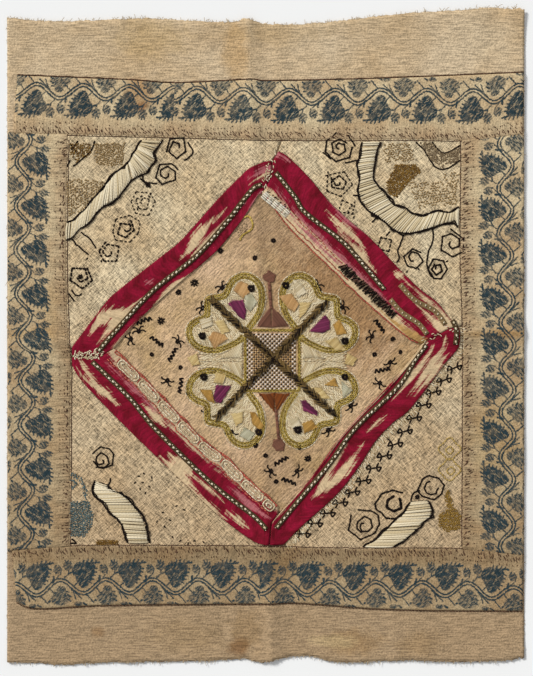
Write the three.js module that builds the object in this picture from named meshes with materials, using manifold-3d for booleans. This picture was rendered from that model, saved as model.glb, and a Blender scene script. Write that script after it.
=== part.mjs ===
import * as THREE from 'three';
import { mergeVertices } from 'three/addons/utils/BufferGeometryUtils.js';
import Module from 'manifold-3d';

const wasm = await Module();
wasm.setup();

// Embroidered panel, lying face up and nearly flat.
// Millimetres, +Z up, origin on the surface under the middle of the panel.
// It was once kept folded in four, so two low creases cross it.

// Driving dimensions
const HALF_WIDTH = 199.8;
const PIECE_GAP = 0.5;
const UNDER_STRIP = 3;
const POINT_CLEAR = 1;
const BRAID_WIDTH = 4;
const EDGE_STEP = 9;
const BRAID_STEP = 5;

// The blocks that cut the sheets to shape stand on this level and are this tall
const CUT_FOOT = -5;
const CUT_HEIGHT = 20;

// Points closer than this are one point
const SAME_POINT = 1e-4;

// Corner cloths are drawn out to here before the borders trim them
const CORNER_REACH = { x: 210, y: 200 };

// How far the middle cloth runs out at its four points
const CENTRE_REACH = { left: -122, right: 121, bottom: -135, top: 108 };

// How the cloths lie on each other, bottom to top
const LAYERS = {
  ground: { bottom: 0, thickness: 1 },
  patch: { bottom: 1.3, thickness: 1 },
  border: { bottom: 1.3, thickness: 1.5 },
  strip: { bottom: 2.6, thickness: 1 },
  braid: { bottom: 3.9, thickness: 1 },
};

// The two creases: where each one crosses the middle, and how it leans
const UPRIGHT_CREASE = { middle: -4.8, lean: -0.0393 };
const LEVEL_CREASE = { middle: -1.5, lean: 0.0251 };

// Height of the cloth at a distance from the upright crease
const RISE_ACROSS = [
  { at: -214, rise: 1.1 },
  { at: -190, rise: 0 },
  { at: -124, rise: 0 },
  { at: -108, rise: 0.5 },
  { at: -90, rise: 0 },
  { at: -13, rise: 0 },
  { at: -7, rise: 0.6 },
  { at: -2.5, rise: 1.7 },
  { at: 0, rise: 2.4 },
  { at: 2.5, rise: 1.7 },
  { at: 7, rise: 0.6 },
  { at: 13, rise: 0 },
  { at: 104, rise: 0 },
  { at: 120, rise: 0.6 },
  { at: 138, rise: 0 },
  { at: 192, rise: 0 },
  { at: 216, rise: 0.9 },
];

// Height of the cloth at a distance from the level crease
const RISE_ALONG = [
  { at: -262, rise: 2 },
  { at: -244, rise: 0.7 },
  { at: -232, rise: 0 },
  { at: -12, rise: 0 },
  { at: -6.5, rise: 0.5 },
  { at: -2.5, rise: 1.4 },
  { at: 0, rise: 2 },
  { at: 2.5, rise: 1.4 },
  { at: 6.5, rise: 0.5 },
  { at: 12, rise: 0 },
  { at: 226, rise: 0 },
  { at: 240, rise: 0.8 },
  { at: 262, rise: 2.4 },
];

// Torn and cut edges of the plain cloth, left to right
const TOP_EDGE = [
  { x: -199.8, y: 246 },
  { x: -163.5, y: 243.5 },
  { x: -114, y: 245 },
  { x: -89.5, y: 245.5 },
  { x: -30, y: 242.7 },
  { x: -15, y: 245.5 },
  { x: -3, y: 242 },
  { x: 22, y: 241 },
  { x: 59, y: 244 },
  { x: 108.5, y: 249.5 },
  { x: 157.5, y: 252.5 },
  { x: 170, y: 254 },
  { x: 199.8, y: 252.5 },
];
const BOTTOM_EDGE = [
  { x: -199.8, y: -252 },
  { x: -176, y: -252.5 },
  { x: -158, y: -254 },
  { x: -126.5, y: -252 },
  { x: -77, y: -251.5 },
  { x: -27.5, y: -250 },
  { x: -15, y: -249 },
  { x: -3, y: -252 },
  { x: 20, y: -247.5 },
  { x: 36, y: -247.5 },
  { x: 59, y: -252 },
  { x: 108.5, y: -250.5 },
  { x: 145.5, y: -251.5 },
  { x: 182.5, y: -250.5 },
  { x: 199.8, y: -248.5 },
];

// Sewn outer seams of the two level borders, left to right
const TOP_SEAM = [
  { x: -192, y: 201.5 },
  { x: -108.5, y: 198 },
  { x: -70, y: 195.5 },
  { x: -13.5, y: 198 },
  { x: 3.5, y: 197 },
  { x: 88, y: 199 },
  { x: 161.5, y: 202 },
  { x: 199.3, y: 203.5 },
];
const BOTTOM_SEAM = [
  { x: -192.5, y: -205 },
  { x: -182, y: -209.5 },
  { x: -166.5, y: -210 },
  { x: -120, y: -207.5 },
  { x: -4.5, y: -206.5 },
  { x: 26.5, y: -206 },
  { x: 80.5, y: -210 },
  { x: 127, y: -211.5 },
  { x: 198.5, y: -212 },
];

// Folded inner edges of the borders, level ones left to right, upright ones top to bottom
const TOP_FOLD = [
  { x: -195, y: 157 },
  { x: -159, y: 156 },
  { x: -70, y: 154 },
  { x: 3.5, y: 152 },
  { x: 103.5, y: 152 },
  { x: 165.5, y: 151.5 },
  { x: 181, y: 154 },
  { x: 199.3, y: 156 },
];
const BOTTOM_FOLD = [
  { x: -196, y: -165.5 },
  { x: -159, y: -162.5 },
  { x: -105, y: -162 },
  { x: -12, y: -162.5 },
  { x: 57.5, y: -164 },
  { x: 150, y: -164.5 },
  { x: 199.3, y: -169 },
];
const LEFT_FOLD = [
  { x: -152.5, y: 162 },
  { x: -154, y: 66.5 },
  { x: -152, y: -6.5 },
  { x: -150.5, y: -22 },
  { x: -151.5, y: -172 },
];
const RIGHT_FOLD = [
  { x: 151.5, y: 162 },
  { x: 150.7, y: 66.5 },
  { x: 152.5, y: -6.5 },
  { x: 152, y: -172 },
];

// Edges of the four silk strips, from the left and right points of the diamond
const STRIP_EDGES = {
  tl_outer: [
    { x: -149.5, y: -8.5 },
    { x: -124, y: 25.5 },
    { x: -112.5, y: 36.5 },
    { x: -81.5, y: 61 },
    { x: -66, y: 73.5 },
    { x: -51, y: 90 },
    { x: -35.5, y: 107.5 },
    { x: -20, y: 123 },
    { x: -12, y: 130 },
    { x: 1, y: 135.5 },
  ],
  tl_inner: [
    { x: -117, y: -8.5 },
    { x: -97, y: 14 },
    { x: -69.5, y: 39 },
    { x: -40.5, y: 63.5 },
    { x: -25.5, y: 80.5 },
    { x: -15, y: 94.5 },
    { x: -5, y: 110.5 },
  ],
  tr_outer: [
    { x: 147.5, y: 8.3 },
    { x: 142, y: 14 },
    { x: 132, y: 26.5 },
    { x: 119, y: 36.5 },
    { x: 105, y: 50 },
    { x: 80.5, y: 76 },
    { x: 65, y: 89 },
    { x: 49.5, y: 103.5 },
    { x: 34, y: 122 },
    { x: 18.5, y: 137.5 },
    { x: 10, y: 143 },
  ],
  tr_inner: [
    { x: 118, y: -4.8 },
    { x: 106, y: 2.5 },
    { x: 78, y: 26.5 },
    { x: 49.5, y: 53.5 },
    { x: 20.5, y: 82 },
    { x: 11, y: 93.5 },
    { x: -0.5, y: 109.5 },
  ],
  br_outer: [
    { x: 149.5, y: 6.5 },
    { x: 149, y: -8 },
    { x: 139.5, y: -20 },
    { x: 112, y: -55.5 },
    { x: 98, y: -67 },
    { x: 84.5, y: -81.5 },
    { x: 73.5, y: -98.5 },
    { x: 56, y: -121 },
    { x: 26.5, y: -148 },
    { x: 14, y: -161 },
  ],
  br_inner: [
    { x: 121, y: -8 },
    { x: 101.5, y: -32 },
    { x: 86.5, y: -47.5 },
    { x: 73, y: -61 },
    { x: 56, y: -80 },
    { x: 42, y: -100 },
    { x: 29, y: -116.5 },
    { x: 10.3, y: -137 },
  ],
  bl_outer: [
    { x: -149.5, y: -22.5 },
    { x: -139.5, y: -37.5 },
    { x: -105, y: -73 },
    { x: -75.5, y: -101.5 },
    { x: -43, y: -132.5 },
    { x: -25.5, y: -147 },
    { x: -10, y: -158 },
    { x: -1, y: -161 },
  ],
  bl_inner: [
    { x: -115.5, y: -10.5 },
    { x: -89.5, y: -36 },
    { x: -47.5, y: -79.5 },
    { x: -30, y: -93 },
    { x: -12, y: -111 },
    { x: 9.7, y: -130.5 },
  ],
};

// Butted joints of the strips, from the outer edge to the inner edge
const STRIP_JOINTS = {
  top: [
    { x: 4.9, y: 135.5 },
    { x: 5, y: 128.5 },
    { x: 2, y: 118.5 },
    { x: -3, y: 110 },
  ],
  left: [
    { x: -149.5, y: -15.5 },
    { x: -128, y: -15.5 },
    { x: -117, y: -9.5 },
  ],
  bottom: [
    { x: 3, y: -161.3 },
    { x: 4.5, y: -144 },
    { x: 10, y: -136.8 },
  ],
  right: [
    { x: 148, y: 7.6 },
    { x: 140.5, y: 5.5 },
    { x: 128.5, y: -1.5 },
    { x: 119.5, y: -6.4 },
  ],
};

// Where the two upper corner cloths are seamed together
const TOP_CORNER_SEAM = [
  { x: 7, y: 136 },
  { x: 9.5, y: 143 },
  { x: 13, y: 155 },
];

// Middle lines of the dotted braids
const BRAID_PATHS = {
  braid_tl: [
    { x: -129.5, y: -12 },
    { x: -108.5, y: 12.5 },
    { x: -85.5, y: 36.5 },
    { x: -54.5, y: 61 },
    { x: -31.5, y: 86.5 },
    { x: -11.5, y: 112 },
    { x: -3, y: 117 },
  ],
  braid_tr: [
    { x: 7.8, y: 126.5 },
    { x: 22.5, y: 107.5 },
    { x: 30.5, y: 95.5 },
    { x: 57.5, y: 74.5 },
    { x: 70.5, y: 61 },
    { x: 91.5, y: 36 },
  ],
  braid_br: [
    { x: 124, y: -6.5 },
    { x: 115, y: -18.5 },
    { x: 102, y: -39 },
    { x: 69, y: -71 },
    { x: 49.5, y: -98 },
    { x: 24, y: -128.5 },
    { x: 8, y: -148 },
  ],
  braid_bl: [
    { x: -134, y: -19.5 },
    { x: -105, y: -47.5 },
    { x: -85.5, y: -71 },
    { x: -43, y: -112.5 },
    { x: -10, y: -138 },
    { x: 0.5, y: -149 },
  ],
  braid_tan_inner: [
    { x: 96, y: 28.5 },
    { x: 105, y: 18.5 },
    { x: 117.5, y: 10 },
    { x: 124.5, y: 1.5 },
  ],
  braid_tan_outer: [
    { x: 103.5, y: 40 },
    { x: 115, y: 28 },
    { x: 130.5, y: 19.5 },
    { x: 138.5, y: 9 },
  ],
  braid_point: [
    { x: 144, y: 12.5 },
    { x: 147, y: 5 },
    { x: 146.5, y: -6.5 },
  ],
};

const FINISHES = {
  linen: { color: 0xc7ab8a, roughness: 0.95 },
  print: { color: 0x9c9884, roughness: 0.92 },
  ribbed: { color: 0xbba784, roughness: 0.95 },
  centre: { color: 0xbf9c72, roughness: 0.93 },
  silk: { color: 0x8c1433, roughness: 0.6 },
  braid: { color: 0x5c5138, roughness: 0.8 },
  tan: { color: 0x9c8158, roughness: 0.8 },
};

// Points along a smooth edge through the rows of a table
function smooth(rows, step = EDGE_STEP) {
  const curve = new THREE.SplineCurve(rows.map((row) => new THREE.Vector2(row.x, row.y)));
  return curve.getSpacedPoints(Math.max(2, Math.round(curve.getLength() / step)));
}

function moved(points, dx, dy) {
  return points.map((point) => new THREE.Vector2(point.x + dx, point.y + dy));
}

function backwards(points) {
  return [...points].reverse();
}

// Points at a constant distance to the left of a line
function beside(points, distance) {
  return points.map((point, i) => {
    const before = points[Math.max(0, i - 1)];
    const after = points[Math.min(points.length - 1, i + 1)];
    const along = after.clone().sub(before).normalize();
    return new THREE.Vector2(point.x - along.y * distance, point.y + along.x * distance);
  });
}

// A place at given distances from the two creases
function placed(across, along) {
  const x = across + UPRIGHT_CREASE.middle;
  const y = along + LEVEL_CREASE.middle;
  const turn = 1 - UPRIGHT_CREASE.lean * LEVEL_CREASE.lean;
  return {
    x: (x + UPRIGHT_CREASE.lean * y) / turn,
    y: (y + LEVEL_CREASE.lean * x) / turn,
  };
}

function solidOf(geometry) {
  geometry.deleteAttribute('normal');
  geometry.deleteAttribute('uv');
  const merged = mergeVertices(geometry, SAME_POINT);
  return new wasm.Manifold(new wasm.Mesh({
    numProp: 3,
    vertProperties: new Float32Array(merged.attributes.position.array),
    triVerts: new Uint32Array(merged.index.array),
  }));
}

// One sheet as large as the panel, lifted over both creases
function sheetOf(layer) {
  const columns = RISE_ACROSS.length - 1;
  const rows = RISE_ALONG.length - 1;
  const geometry = new THREE.BoxGeometry(columns, rows, 1, columns, rows, 1);
  const points = geometry.attributes.position;
  for (let i = 0; i < points.count; i += 1) {
    const across = RISE_ACROSS[Math.round(points.getX(i) + columns / 2)];
    const along = RISE_ALONG[Math.round(points.getY(i) + rows / 2)];
    const place = placed(across.at, along.at);
    const depth = layer.bottom + (points.getZ(i) > 0 ? layer.thickness : 0);
    points.setXYZ(i, place.x, place.y, depth + across.rise + along.rise);
  }
  return solidOf(geometry);
}

const sheets = {};
for (const [name, layer] of Object.entries(LAYERS)) {
  sheets[name] = sheetOf(layer);
}

// A cloth cut to the space that its outlines share, lying on the creases at its layer
function cut(name, layerName, finishName, ...outlines) {
  let solid = sheets[layerName];
  for (const outline of outlines) {
    const shape = new THREE.Shape(outline);
    const block = new THREE.ExtrudeGeometry(shape, { depth: CUT_HEIGHT, bevelEnabled: false });
    block.translate(0, 0, CUT_FOOT);
    solid = solid.intersect(solidOf(block));
  }
  const result = solid.getMesh();
  const geometry = new THREE.BufferGeometry();
  geometry.setAttribute('position', new THREE.BufferAttribute(result.vertProperties, 3));
  geometry.setIndex(new THREE.BufferAttribute(result.triVerts, 1));
  geometry.computeVertexNormals();
  const material = new THREE.MeshStandardMaterial({ ...FINISHES[finishName], metalness: 0 });
  const mesh = new THREE.Mesh(geometry, material);
  mesh.name = name;
  return mesh;
}

function groundCloth() {
  const outline = [...smooth(BOTTOM_EDGE), ...backwards(smooth(TOP_EDGE))];
  return cut('ground_cloth', 'ground', 'linen', outline);
}

const topFold = smooth(TOP_FOLD);
const bottomFold = smooth(BOTTOM_FOLD);
const leftFold = smooth(LEFT_FOLD);
const rightFold = smooth(RIGHT_FOLD);

// The space left between the two level borders, as wide as the panel
const betweenLevel = [
  ...moved(bottomFold, 0, PIECE_GAP),
  ...backwards(moved(topFold, 0, -PIECE_GAP)),
];

// The space left between the two upright borders, taller than it is used
const betweenUpright = [
  ...moved(leftFold, PIECE_GAP, 0),
  ...backwards(moved(rightFold, -PIECE_GAP, 0)),
];

function borders() {
  const sideEdge = HALF_WIDTH - PIECE_GAP;
  const top = [...topFold, ...backwards(smooth(TOP_SEAM))];
  const bottom = [...smooth(BOTTOM_SEAM), ...backwards(bottomFold)];
  const left = [...leftFold, ...sideLine(-sideEdge, leftFold)];
  const right = [...rightFold, ...sideLine(sideEdge, rightFold)];
  return [
    cut('border_top', 'border', 'print', top),
    cut('border_bottom', 'border', 'print', bottom),
    cut('border_left', 'border', 'print', left, betweenLevel),
    cut('border_right', 'border', 'print', right, betweenLevel),
  ];
}

// An upright line from the foot of a fold back to the height of its top
function sideLine(x, fold) {
  return [new THREE.Vector2(x, fold[fold.length - 1].y), new THREE.Vector2(x, fold[0].y)];
}

const edges = {};
for (const [name, rows] of Object.entries(STRIP_EDGES)) {
  edges[name] = smooth(rows);
}

// Joint lines as the strip on each side of them sees them
const joint = {};
for (const [name, rows] of Object.entries(STRIP_JOINTS)) {
  const points = rows.map((row) => new THREE.Vector2(row.x, row.y));
  joint[name] = { left: beside(points, PIECE_GAP / 2), right: beside(points, -PIECE_GAP / 2) };
}

// Outer edge, joint at its end, inner edge back, joint at its start
function ring(outer, endJoint, inner, startJoint) {
  return [...outer, ...endJoint, ...backwards(inner), ...backwards(startJoint)];
}

function strips() {
  const outlines = {
    ikat_tl: ring(edges.tl_outer, joint.top.right, edges.tl_inner, joint.left.left),
    ikat_tr: ring(edges.tr_outer, joint.top.left, edges.tr_inner, joint.right.right),
    ikat_br: ring(edges.br_outer, joint.bottom.right, edges.br_inner, joint.right.left),
    ikat_bl: ring(edges.bl_outer, joint.bottom.left, edges.bl_inner, joint.left.right),
  };
  return Object.entries(outlines).map(([name, outline]) => cut(name, 'strip', 'silk', outline, betweenLevel));
}

// From the end of a hidden edge, out round one corner of the panel, to just short of its start
function roundCorner(edge, farX, farY, lastX) {
  const start = edge[0].y + Math.sign(farY) * POINT_CLEAR;
  return [
    new THREE.Vector2(lastX, farY),
    new THREE.Vector2(farX, farY),
    new THREE.Vector2(farX, start),
    new THREE.Vector2(edge[0].x, start),
  ];
}

// Corner cloths run a little way under the silk strips
function corners() {
  const { x: out, y: high } = CORNER_REACH;
  const under = {
    tl: beside(edges.tl_outer, -UNDER_STRIP),
    tr: beside(edges.tr_outer, UNDER_STRIP),
    br: beside(edges.br_outer, -UNDER_STRIP),
    bl: beside(edges.bl_outer, UNDER_STRIP),
  };
  const seam = TOP_CORNER_SEAM.map((row) => new THREE.Vector2(row.x, row.y));
  const seamTop = seam[seam.length - 1].x;
  const outlines = {
    corner_tl: [
      ...under.tl.slice(1, -1),
      ...moved(seam, -PIECE_GAP / 2, 0),
      ...roundCorner(under.tl, -out, high, seamTop - PIECE_GAP / 2),
    ],
    corner_tr: [
      ...under.tr.slice(1, -1),
      ...moved(seam, PIECE_GAP / 2, 0),
      ...roundCorner(under.tr, out, high, seamTop + PIECE_GAP / 2),
    ],
    corner_bl: [...under.bl.slice(1), ...roundCorner(under.bl, -out, -high, under.bl[under.bl.length - 1].x)],
    corner_br: [...under.br.slice(1), ...roundCorner(under.br, out, -high, under.br[under.br.length - 1].x)],
  };
  return Object.entries(outlines).map(([name, outline]) => (
    cut(name, 'patch', 'ribbed', outline, betweenLevel, betweenUpright)
  ));
}

// The middle cloth runs a little way under the strips on all four sides
function centreCloth() {
  const { left, right, bottom, top } = CENTRE_REACH;
  const within = (point) => point.x > left && point.x < right && point.y > bottom && point.y < top;
  const outline = [
    ...beside(edges.tl_inner, UNDER_STRIP).filter(within),
    ...backwards(beside(edges.tr_inner, -UNDER_STRIP).filter(within)),
    ...beside(edges.br_inner, UNDER_STRIP).filter(within),
    ...backwards(beside(edges.bl_inner, -UNDER_STRIP).filter(within)),
  ];
  return cut('centre_cloth', 'patch', 'centre', outline);
}

function braids() {
  return Object.entries(BRAID_PATHS).map(([name, rows]) => {
    const middle = smooth(rows, BRAID_STEP);
    const outline = [...beside(middle, -BRAID_WIDTH / 2), ...backwards(beside(middle, BRAID_WIDTH / 2))];
    return cut(name, 'braid', name.includes('tan') ? 'tan' : 'braid', outline);
  });
}

const panel = new THREE.Group();
panel.add(groundCloth(), ...borders(), ...corners(), centreCloth(), ...strips(), ...braids());

export default panel;
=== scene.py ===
"""Embroidered panel lying face up: cloths, print, dyed silk, braids and thread work."""
import math

import bmesh
import bpy
import numpy as np
from bpy.props import FloatProperty, FloatVectorProperty, PointerProperty
from bpy.types import Operator, Panel, PropertyGroup
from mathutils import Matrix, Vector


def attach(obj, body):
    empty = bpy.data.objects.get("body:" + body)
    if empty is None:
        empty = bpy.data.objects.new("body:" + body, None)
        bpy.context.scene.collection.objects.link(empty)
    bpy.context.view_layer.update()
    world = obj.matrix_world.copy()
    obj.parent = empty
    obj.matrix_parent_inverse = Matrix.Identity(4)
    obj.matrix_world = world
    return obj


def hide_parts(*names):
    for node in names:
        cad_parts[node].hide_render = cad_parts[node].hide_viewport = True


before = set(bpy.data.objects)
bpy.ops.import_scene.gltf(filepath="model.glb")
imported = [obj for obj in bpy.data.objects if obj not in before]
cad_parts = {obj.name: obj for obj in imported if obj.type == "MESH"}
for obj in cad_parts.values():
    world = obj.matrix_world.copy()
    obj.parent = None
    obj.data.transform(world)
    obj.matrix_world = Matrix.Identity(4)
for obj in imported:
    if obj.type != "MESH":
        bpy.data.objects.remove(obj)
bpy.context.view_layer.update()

bl_info = {
    "name": "Embroidered panel",
    "version": (1, 0, 0),
    "blender": (4, 5, 0),
    "location": "3D View > Sidebar > Panel",
    "description": "Builds the cloths, print, braids and embroidery of a panel in the frame of its CAD part",
    "category": "Add Mesh",
}

MM = 0.001
HALF_WIDTH = 199.8
SIDE_EDGE = 199.3
UNDER_STRIP = 3.0
INTO_BORDER = 0.8

# Heights of the upper faces over the surface, mm
GROUND_TOP = 1.0
PATCH_TOP = 2.3
BORDER_TOP = 2.8
STRIP_TOP = 3.6
BRAID_TOP = 4.9

# Where each crease crosses the middle, and how it leans
UPRIGHT_CREASE = (-4.8, -0.0393)
LEVEL_CREASE = (-1.5, 0.0251)

# Distance from the upright crease, height of the cloth
RISE_ACROSS = np.array([
    (-214, 1.1), (-190, 0), (-124, 0), (-108, 0.5), (-90, 0), (-13, 0), (-7, 0.6), (-2.5, 1.7), (0, 2.4),
    (2.5, 1.7), (7, 0.6), (13, 0), (104, 0), (120, 0.6), (138, 0), (192, 0), (216, 0.9),
])

# Distance from the level crease, height of the cloth
RISE_ALONG = np.array([
    (-262, 2), (-244, 0.7), (-232, 0), (-12, 0), (-6.5, 0.5), (-2.5, 1.4), (0, 2), (2.5, 1.4), (6.5, 0.5),
    (12, 0), (226, 0), (240, 0.8), (262, 2.4),
])

# Edges of the plain cloth, seams and folds of the borders: x, y in mm
TOP_EDGE = [
    (-199.8, 246), (-163.5, 243.5), (-114, 245), (-89.5, 245.5), (-30, 242.7), (-15, 245.5), (-3, 242),
    (22, 241), (59, 244), (108.5, 249.5), (157.5, 252.5), (170, 254), (199.8, 252.5),
]
BOTTOM_EDGE = [
    (-199.8, -252), (-176, -252.5), (-158, -254), (-126.5, -252), (-77, -251.5), (-27.5, -250), (-15, -249),
    (-3, -252), (20, -247.5), (36, -247.5), (59, -252), (108.5, -250.5), (145.5, -251.5), (182.5, -250.5),
    (199.8, -248.5),
]
TOP_SEAM = [
    (-192, 201.5), (-108.5, 198), (-70, 195.5), (-13.5, 198), (3.5, 197), (88, 199), (161.5, 202),
    (199.3, 203.5),
]
BOTTOM_SEAM = [
    (-192.5, -205), (-182, -209.5), (-166.5, -210), (-120, -207.5), (-4.5, -206.5), (26.5, -206),
    (80.5, -210), (127, -211.5), (198.5, -212),
]
TOP_FOLD = [
    (-195, 157), (-159, 156), (-70, 154), (3.5, 152), (103.5, 152), (165.5, 151.5), (181, 154), (199.3, 156),
]
BOTTOM_FOLD = [
    (-196, -165.5), (-159, -162.5), (-105, -162), (-12, -162.5), (57.5, -164), (150, -164.5), (199.3, -169),
]
LEFT_FOLD = [(-152.5, 162), (-154, 66.5), (-152, -6.5), (-150.5, -22), (-151.5, -172)]
RIGHT_FOLD = [(151.5, 162), (150.7, 66.5), (152.5, -6.5), (152, -172)]

# Edges of the silk strips, from the left and right points of the diamond
STRIP_EDGES = {
    "tl_outer": [
        (-149.5, -8.5), (-124, 25.5), (-112.5, 36.5), (-81.5, 61), (-66, 73.5), (-51, 90), (-35.5, 107.5),
        (-20, 123), (-12, 130), (1, 135.5),
    ],
    "tl_inner": [
        (-117, -8.5), (-97, 14), (-69.5, 39), (-40.5, 63.5), (-25.5, 80.5), (-15, 94.5), (-5, 110.5),
    ],
    "tr_outer": [
        (147.5, 8.3), (142, 14), (132, 26.5), (119, 36.5), (105, 50), (80.5, 76), (65, 89), (49.5, 103.5),
        (34, 122), (18.5, 137.5), (10, 143),
    ],
    "tr_inner": [
        (118, -4.8), (106, 2.5), (78, 26.5), (49.5, 53.5), (20.5, 82), (11, 93.5), (-0.5, 109.5),
    ],
    "br_outer": [
        (149.5, 6.5), (149, -8), (139.5, -20), (112, -55.5), (98, -67), (84.5, -81.5), (73.5, -98.5),
        (56, -121), (26.5, -148), (14, -161),
    ],
    "br_inner": [
        (121, -8), (101.5, -32), (86.5, -47.5), (73, -61), (56, -80), (42, -100), (29, -116.5), (10.3, -137),
    ],
    "bl_outer": [
        (-149.5, -22.5), (-139.5, -37.5), (-105, -73), (-75.5, -101.5), (-43, -132.5), (-25.5, -147),
        (-10, -158), (-1, -161),
    ],
    "bl_inner": [(-115.5, -10.5), (-89.5, -36), (-47.5, -79.5), (-30, -93), (-12, -111), (9.7, -130.5)],
}

# Ends of each strip from its outer to its inner edge: at the side point, then at the top or bottom
STRIP_ENDS = {
    "tl": (
        [(-149.5, -8.5), (-149.5, -15.3), (-128, -15.3), (-117, -9.3), (-117, -8.5)],
        [(4.7, 135.5), (4.8, 128.5), (1.8, 118.5), (-3.2, 110)],
    ),
    "tr": (
        [(147.5, 8.3), (148, 7.8), (140.5, 5.7), (128.5, -1.3), (119.5, -6.2), (118, -4.8)],
        [(10, 143), (5.2, 135.5), (5.2, 128.5), (2.2, 118.5), (-2.8, 110)],
    ),
    "br": (
        [(149.5, 6.5), (148, 7.4), (140.5, 5.3), (128.5, -1.7), (119.5, -6.6), (121, -8)],
        [(14, -161), (3.2, -161.3), (4.7, -144), (10.2, -137)],
    ),
    "bl": (
        [(-149.5, -22.5), (-149.5, -15.7), (-128, -15.7), (-117.2, -9.7), (-115.5, -10.5)],
        [(-1, -161), (2.8, -161.3), (4.3, -144), (9.8, -136.8), (9.7, -130.5)],
    ),
}

BRAID_PATHS = {
    "braid_tl": [
        (-129.5, -12), (-108.5, 12.5), (-85.5, 36.5), (-54.5, 61), (-31.5, 86.5), (-11.5, 112), (-3, 117),
    ],
    "braid_tr": [(7.8, 126.5), (22.5, 107.5), (30.5, 95.5), (57.5, 74.5), (70.5, 61), (91.5, 36)],
    "braid_br": [
        (124, -6.5), (115, -18.5), (102, -39), (69, -71), (49.5, -98), (24, -128.5), (8, -148),
    ],
    "braid_bl": [(-134, -19.5), (-105, -47.5), (-85.5, -71), (-43, -112.5), (-10, -138), (0.5, -149)],
    "braid_tan_inner": [(96, 28.5), (105, 18.5), (117.5, 10), (124.5, 1.5)],
    "braid_tan_outer": [(103.5, 40), (115, 28), (130.5, 19.5), (138.5, 9)],
    "braid_point": [(144, 12.5), (147, 5), (146.5, -6.5)],
}


# Lines and heights


def linear(text):
    """An sRGB hex colour as linear red, green, blue and alpha."""
    parts = [int(text[k:k + 2], 16) / 255 for k in (0, 2, 4)]
    return tuple(p / 12.92 if p <= 0.04045 else ((p + 0.055) / 1.055) ** 2.4 for p in parts) + (1.0,)


def reach_of(line):
    """Distance along a line at each of its points, mm."""
    steps = np.linalg.norm(np.diff(line, axis=0), axis=1)
    return np.concatenate([[0.0], np.cumsum(steps)])


def length_of(line):
    """Length of a line, mm."""
    return reach_of(np.asarray(line, float))[-1]


def along(line, share):
    """Points at shares of a line's length."""
    line = np.asarray(line, float)
    reach = reach_of(line)
    return np.stack([np.interp(share * reach[-1], reach, line[:, k]) for k in (0, 1)], axis=-1)


def smooth(rows, step=1.5):
    """Evenly spaced points on a smooth line through the rows."""
    points = np.array(rows, float)
    held = np.vstack([points[:1], points, points[-1:]])
    t = np.linspace(0, 1, 12, endpoint=False)[:, None]
    runs = []
    for a, b, c, d in zip(held[:-3], held[1:-2], held[2:-1], held[3:]):
        leave, arrive = (c - a) / 2, (d - b) / 2
        cubic = 2 * b - 2 * c + leave + arrive
        runs.append(cubic * t ** 3 + (3 * c - 3 * b - 2 * leave - arrive) * t ** 2 + leave * t + b)
    line = np.vstack(runs + [points[-1:]])
    count = max(3, round(length_of(line) / step) + 1)
    return along(line, np.linspace(0, 1, count))


def straight(rows, step=1.0):
    """Evenly spaced points on straight runs between the rows."""
    line = np.array(rows, float)
    count = max(2, round(length_of(line) / step) + 1)
    return along(line, np.linspace(0, 1, count))


def heading(line):
    """Unit directions along a line at its points."""
    way = np.gradient(np.asarray(line, float), axis=0)
    return way / np.maximum(np.linalg.norm(way, axis=1, keepdims=True), 1e-9)


def left_of(way):
    """Directions turned a quarter to the left."""
    return way[..., ::-1] * (-1, 1)


def facing(degrees):
    """The unit direction at an angle, and the one to its left."""
    turn = math.radians(degrees)
    way = np.array([math.cos(turn), math.sin(turn)])
    return way, left_of(way)


def beside(line, distance):
    """The line moved to its left by a distance."""
    return line + left_of(heading(line)) * np.reshape(distance, (-1, 1))


def between(line, axis, low, high):
    """The stretch of a line between two values of one coordinate, lowest first."""
    if line[0, axis] > line[-1, axis]:
        line = line[::-1]
    held = line[(line[:, axis] > low) & (line[:, axis] < high)]
    ends = [[np.interp(value, line[:, axis], line[:, k]) for k in (0, 1)] for value in (low, high)]
    return np.vstack([ends[0], held, ends[1]])


def soft_waves():
    """Directions, lengths and phases of the soft ripples in the cloth."""
    chance = np.random.default_rng(5)
    length = chance.uniform(13, 62, 16)
    angle = chance.uniform(0, math.pi, 16)
    return length, angle, chance.uniform(0, 2 * math.pi, 16)


WAVES = soft_waves()


def lie(x, y):
    """How far the cloths are lifted at a place: two creases, curled edges and soft ripples, mm."""
    across = x - (UPRIGHT_CREASE[0] + UPRIGHT_CREASE[1] * y)
    down = y - (LEVEL_CREASE[0] + LEVEL_CREASE[1] * x)
    height = np.zeros(np.shape(x))
    for shift in (-1.0, 0.0, 1.0):
        height = height + np.interp(across + shift, *RISE_ACROSS.T) / 3
        height = height + np.interp(down + shift, *RISE_ALONG.T) / 3
    ripple = bpy.context.scene.panel_cloths.ripple / MM
    for length, angle, phase in zip(*WAVES):
        turn = (x * math.cos(angle) + y * math.sin(angle)) * 2 * math.pi / length
        height = height + ripple * math.sqrt(length / 400) * np.sin(turn + phase)
    return height


LINES = {
    "top_edge": smooth(TOP_EDGE), "bottom_edge": smooth(BOTTOM_EDGE),
    "top_seam": smooth(TOP_SEAM), "bottom_seam": smooth(BOTTOM_SEAM),
    "top_fold": smooth(TOP_FOLD), "bottom_fold": smooth(BOTTOM_FOLD),
    "left_fold": smooth(LEFT_FOLD), "right_fold": smooth(RIGHT_FOLD),
    **{name: smooth(rows) for name, rows in STRIP_EDGES.items()},
}


# Nodes and finishes


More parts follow.
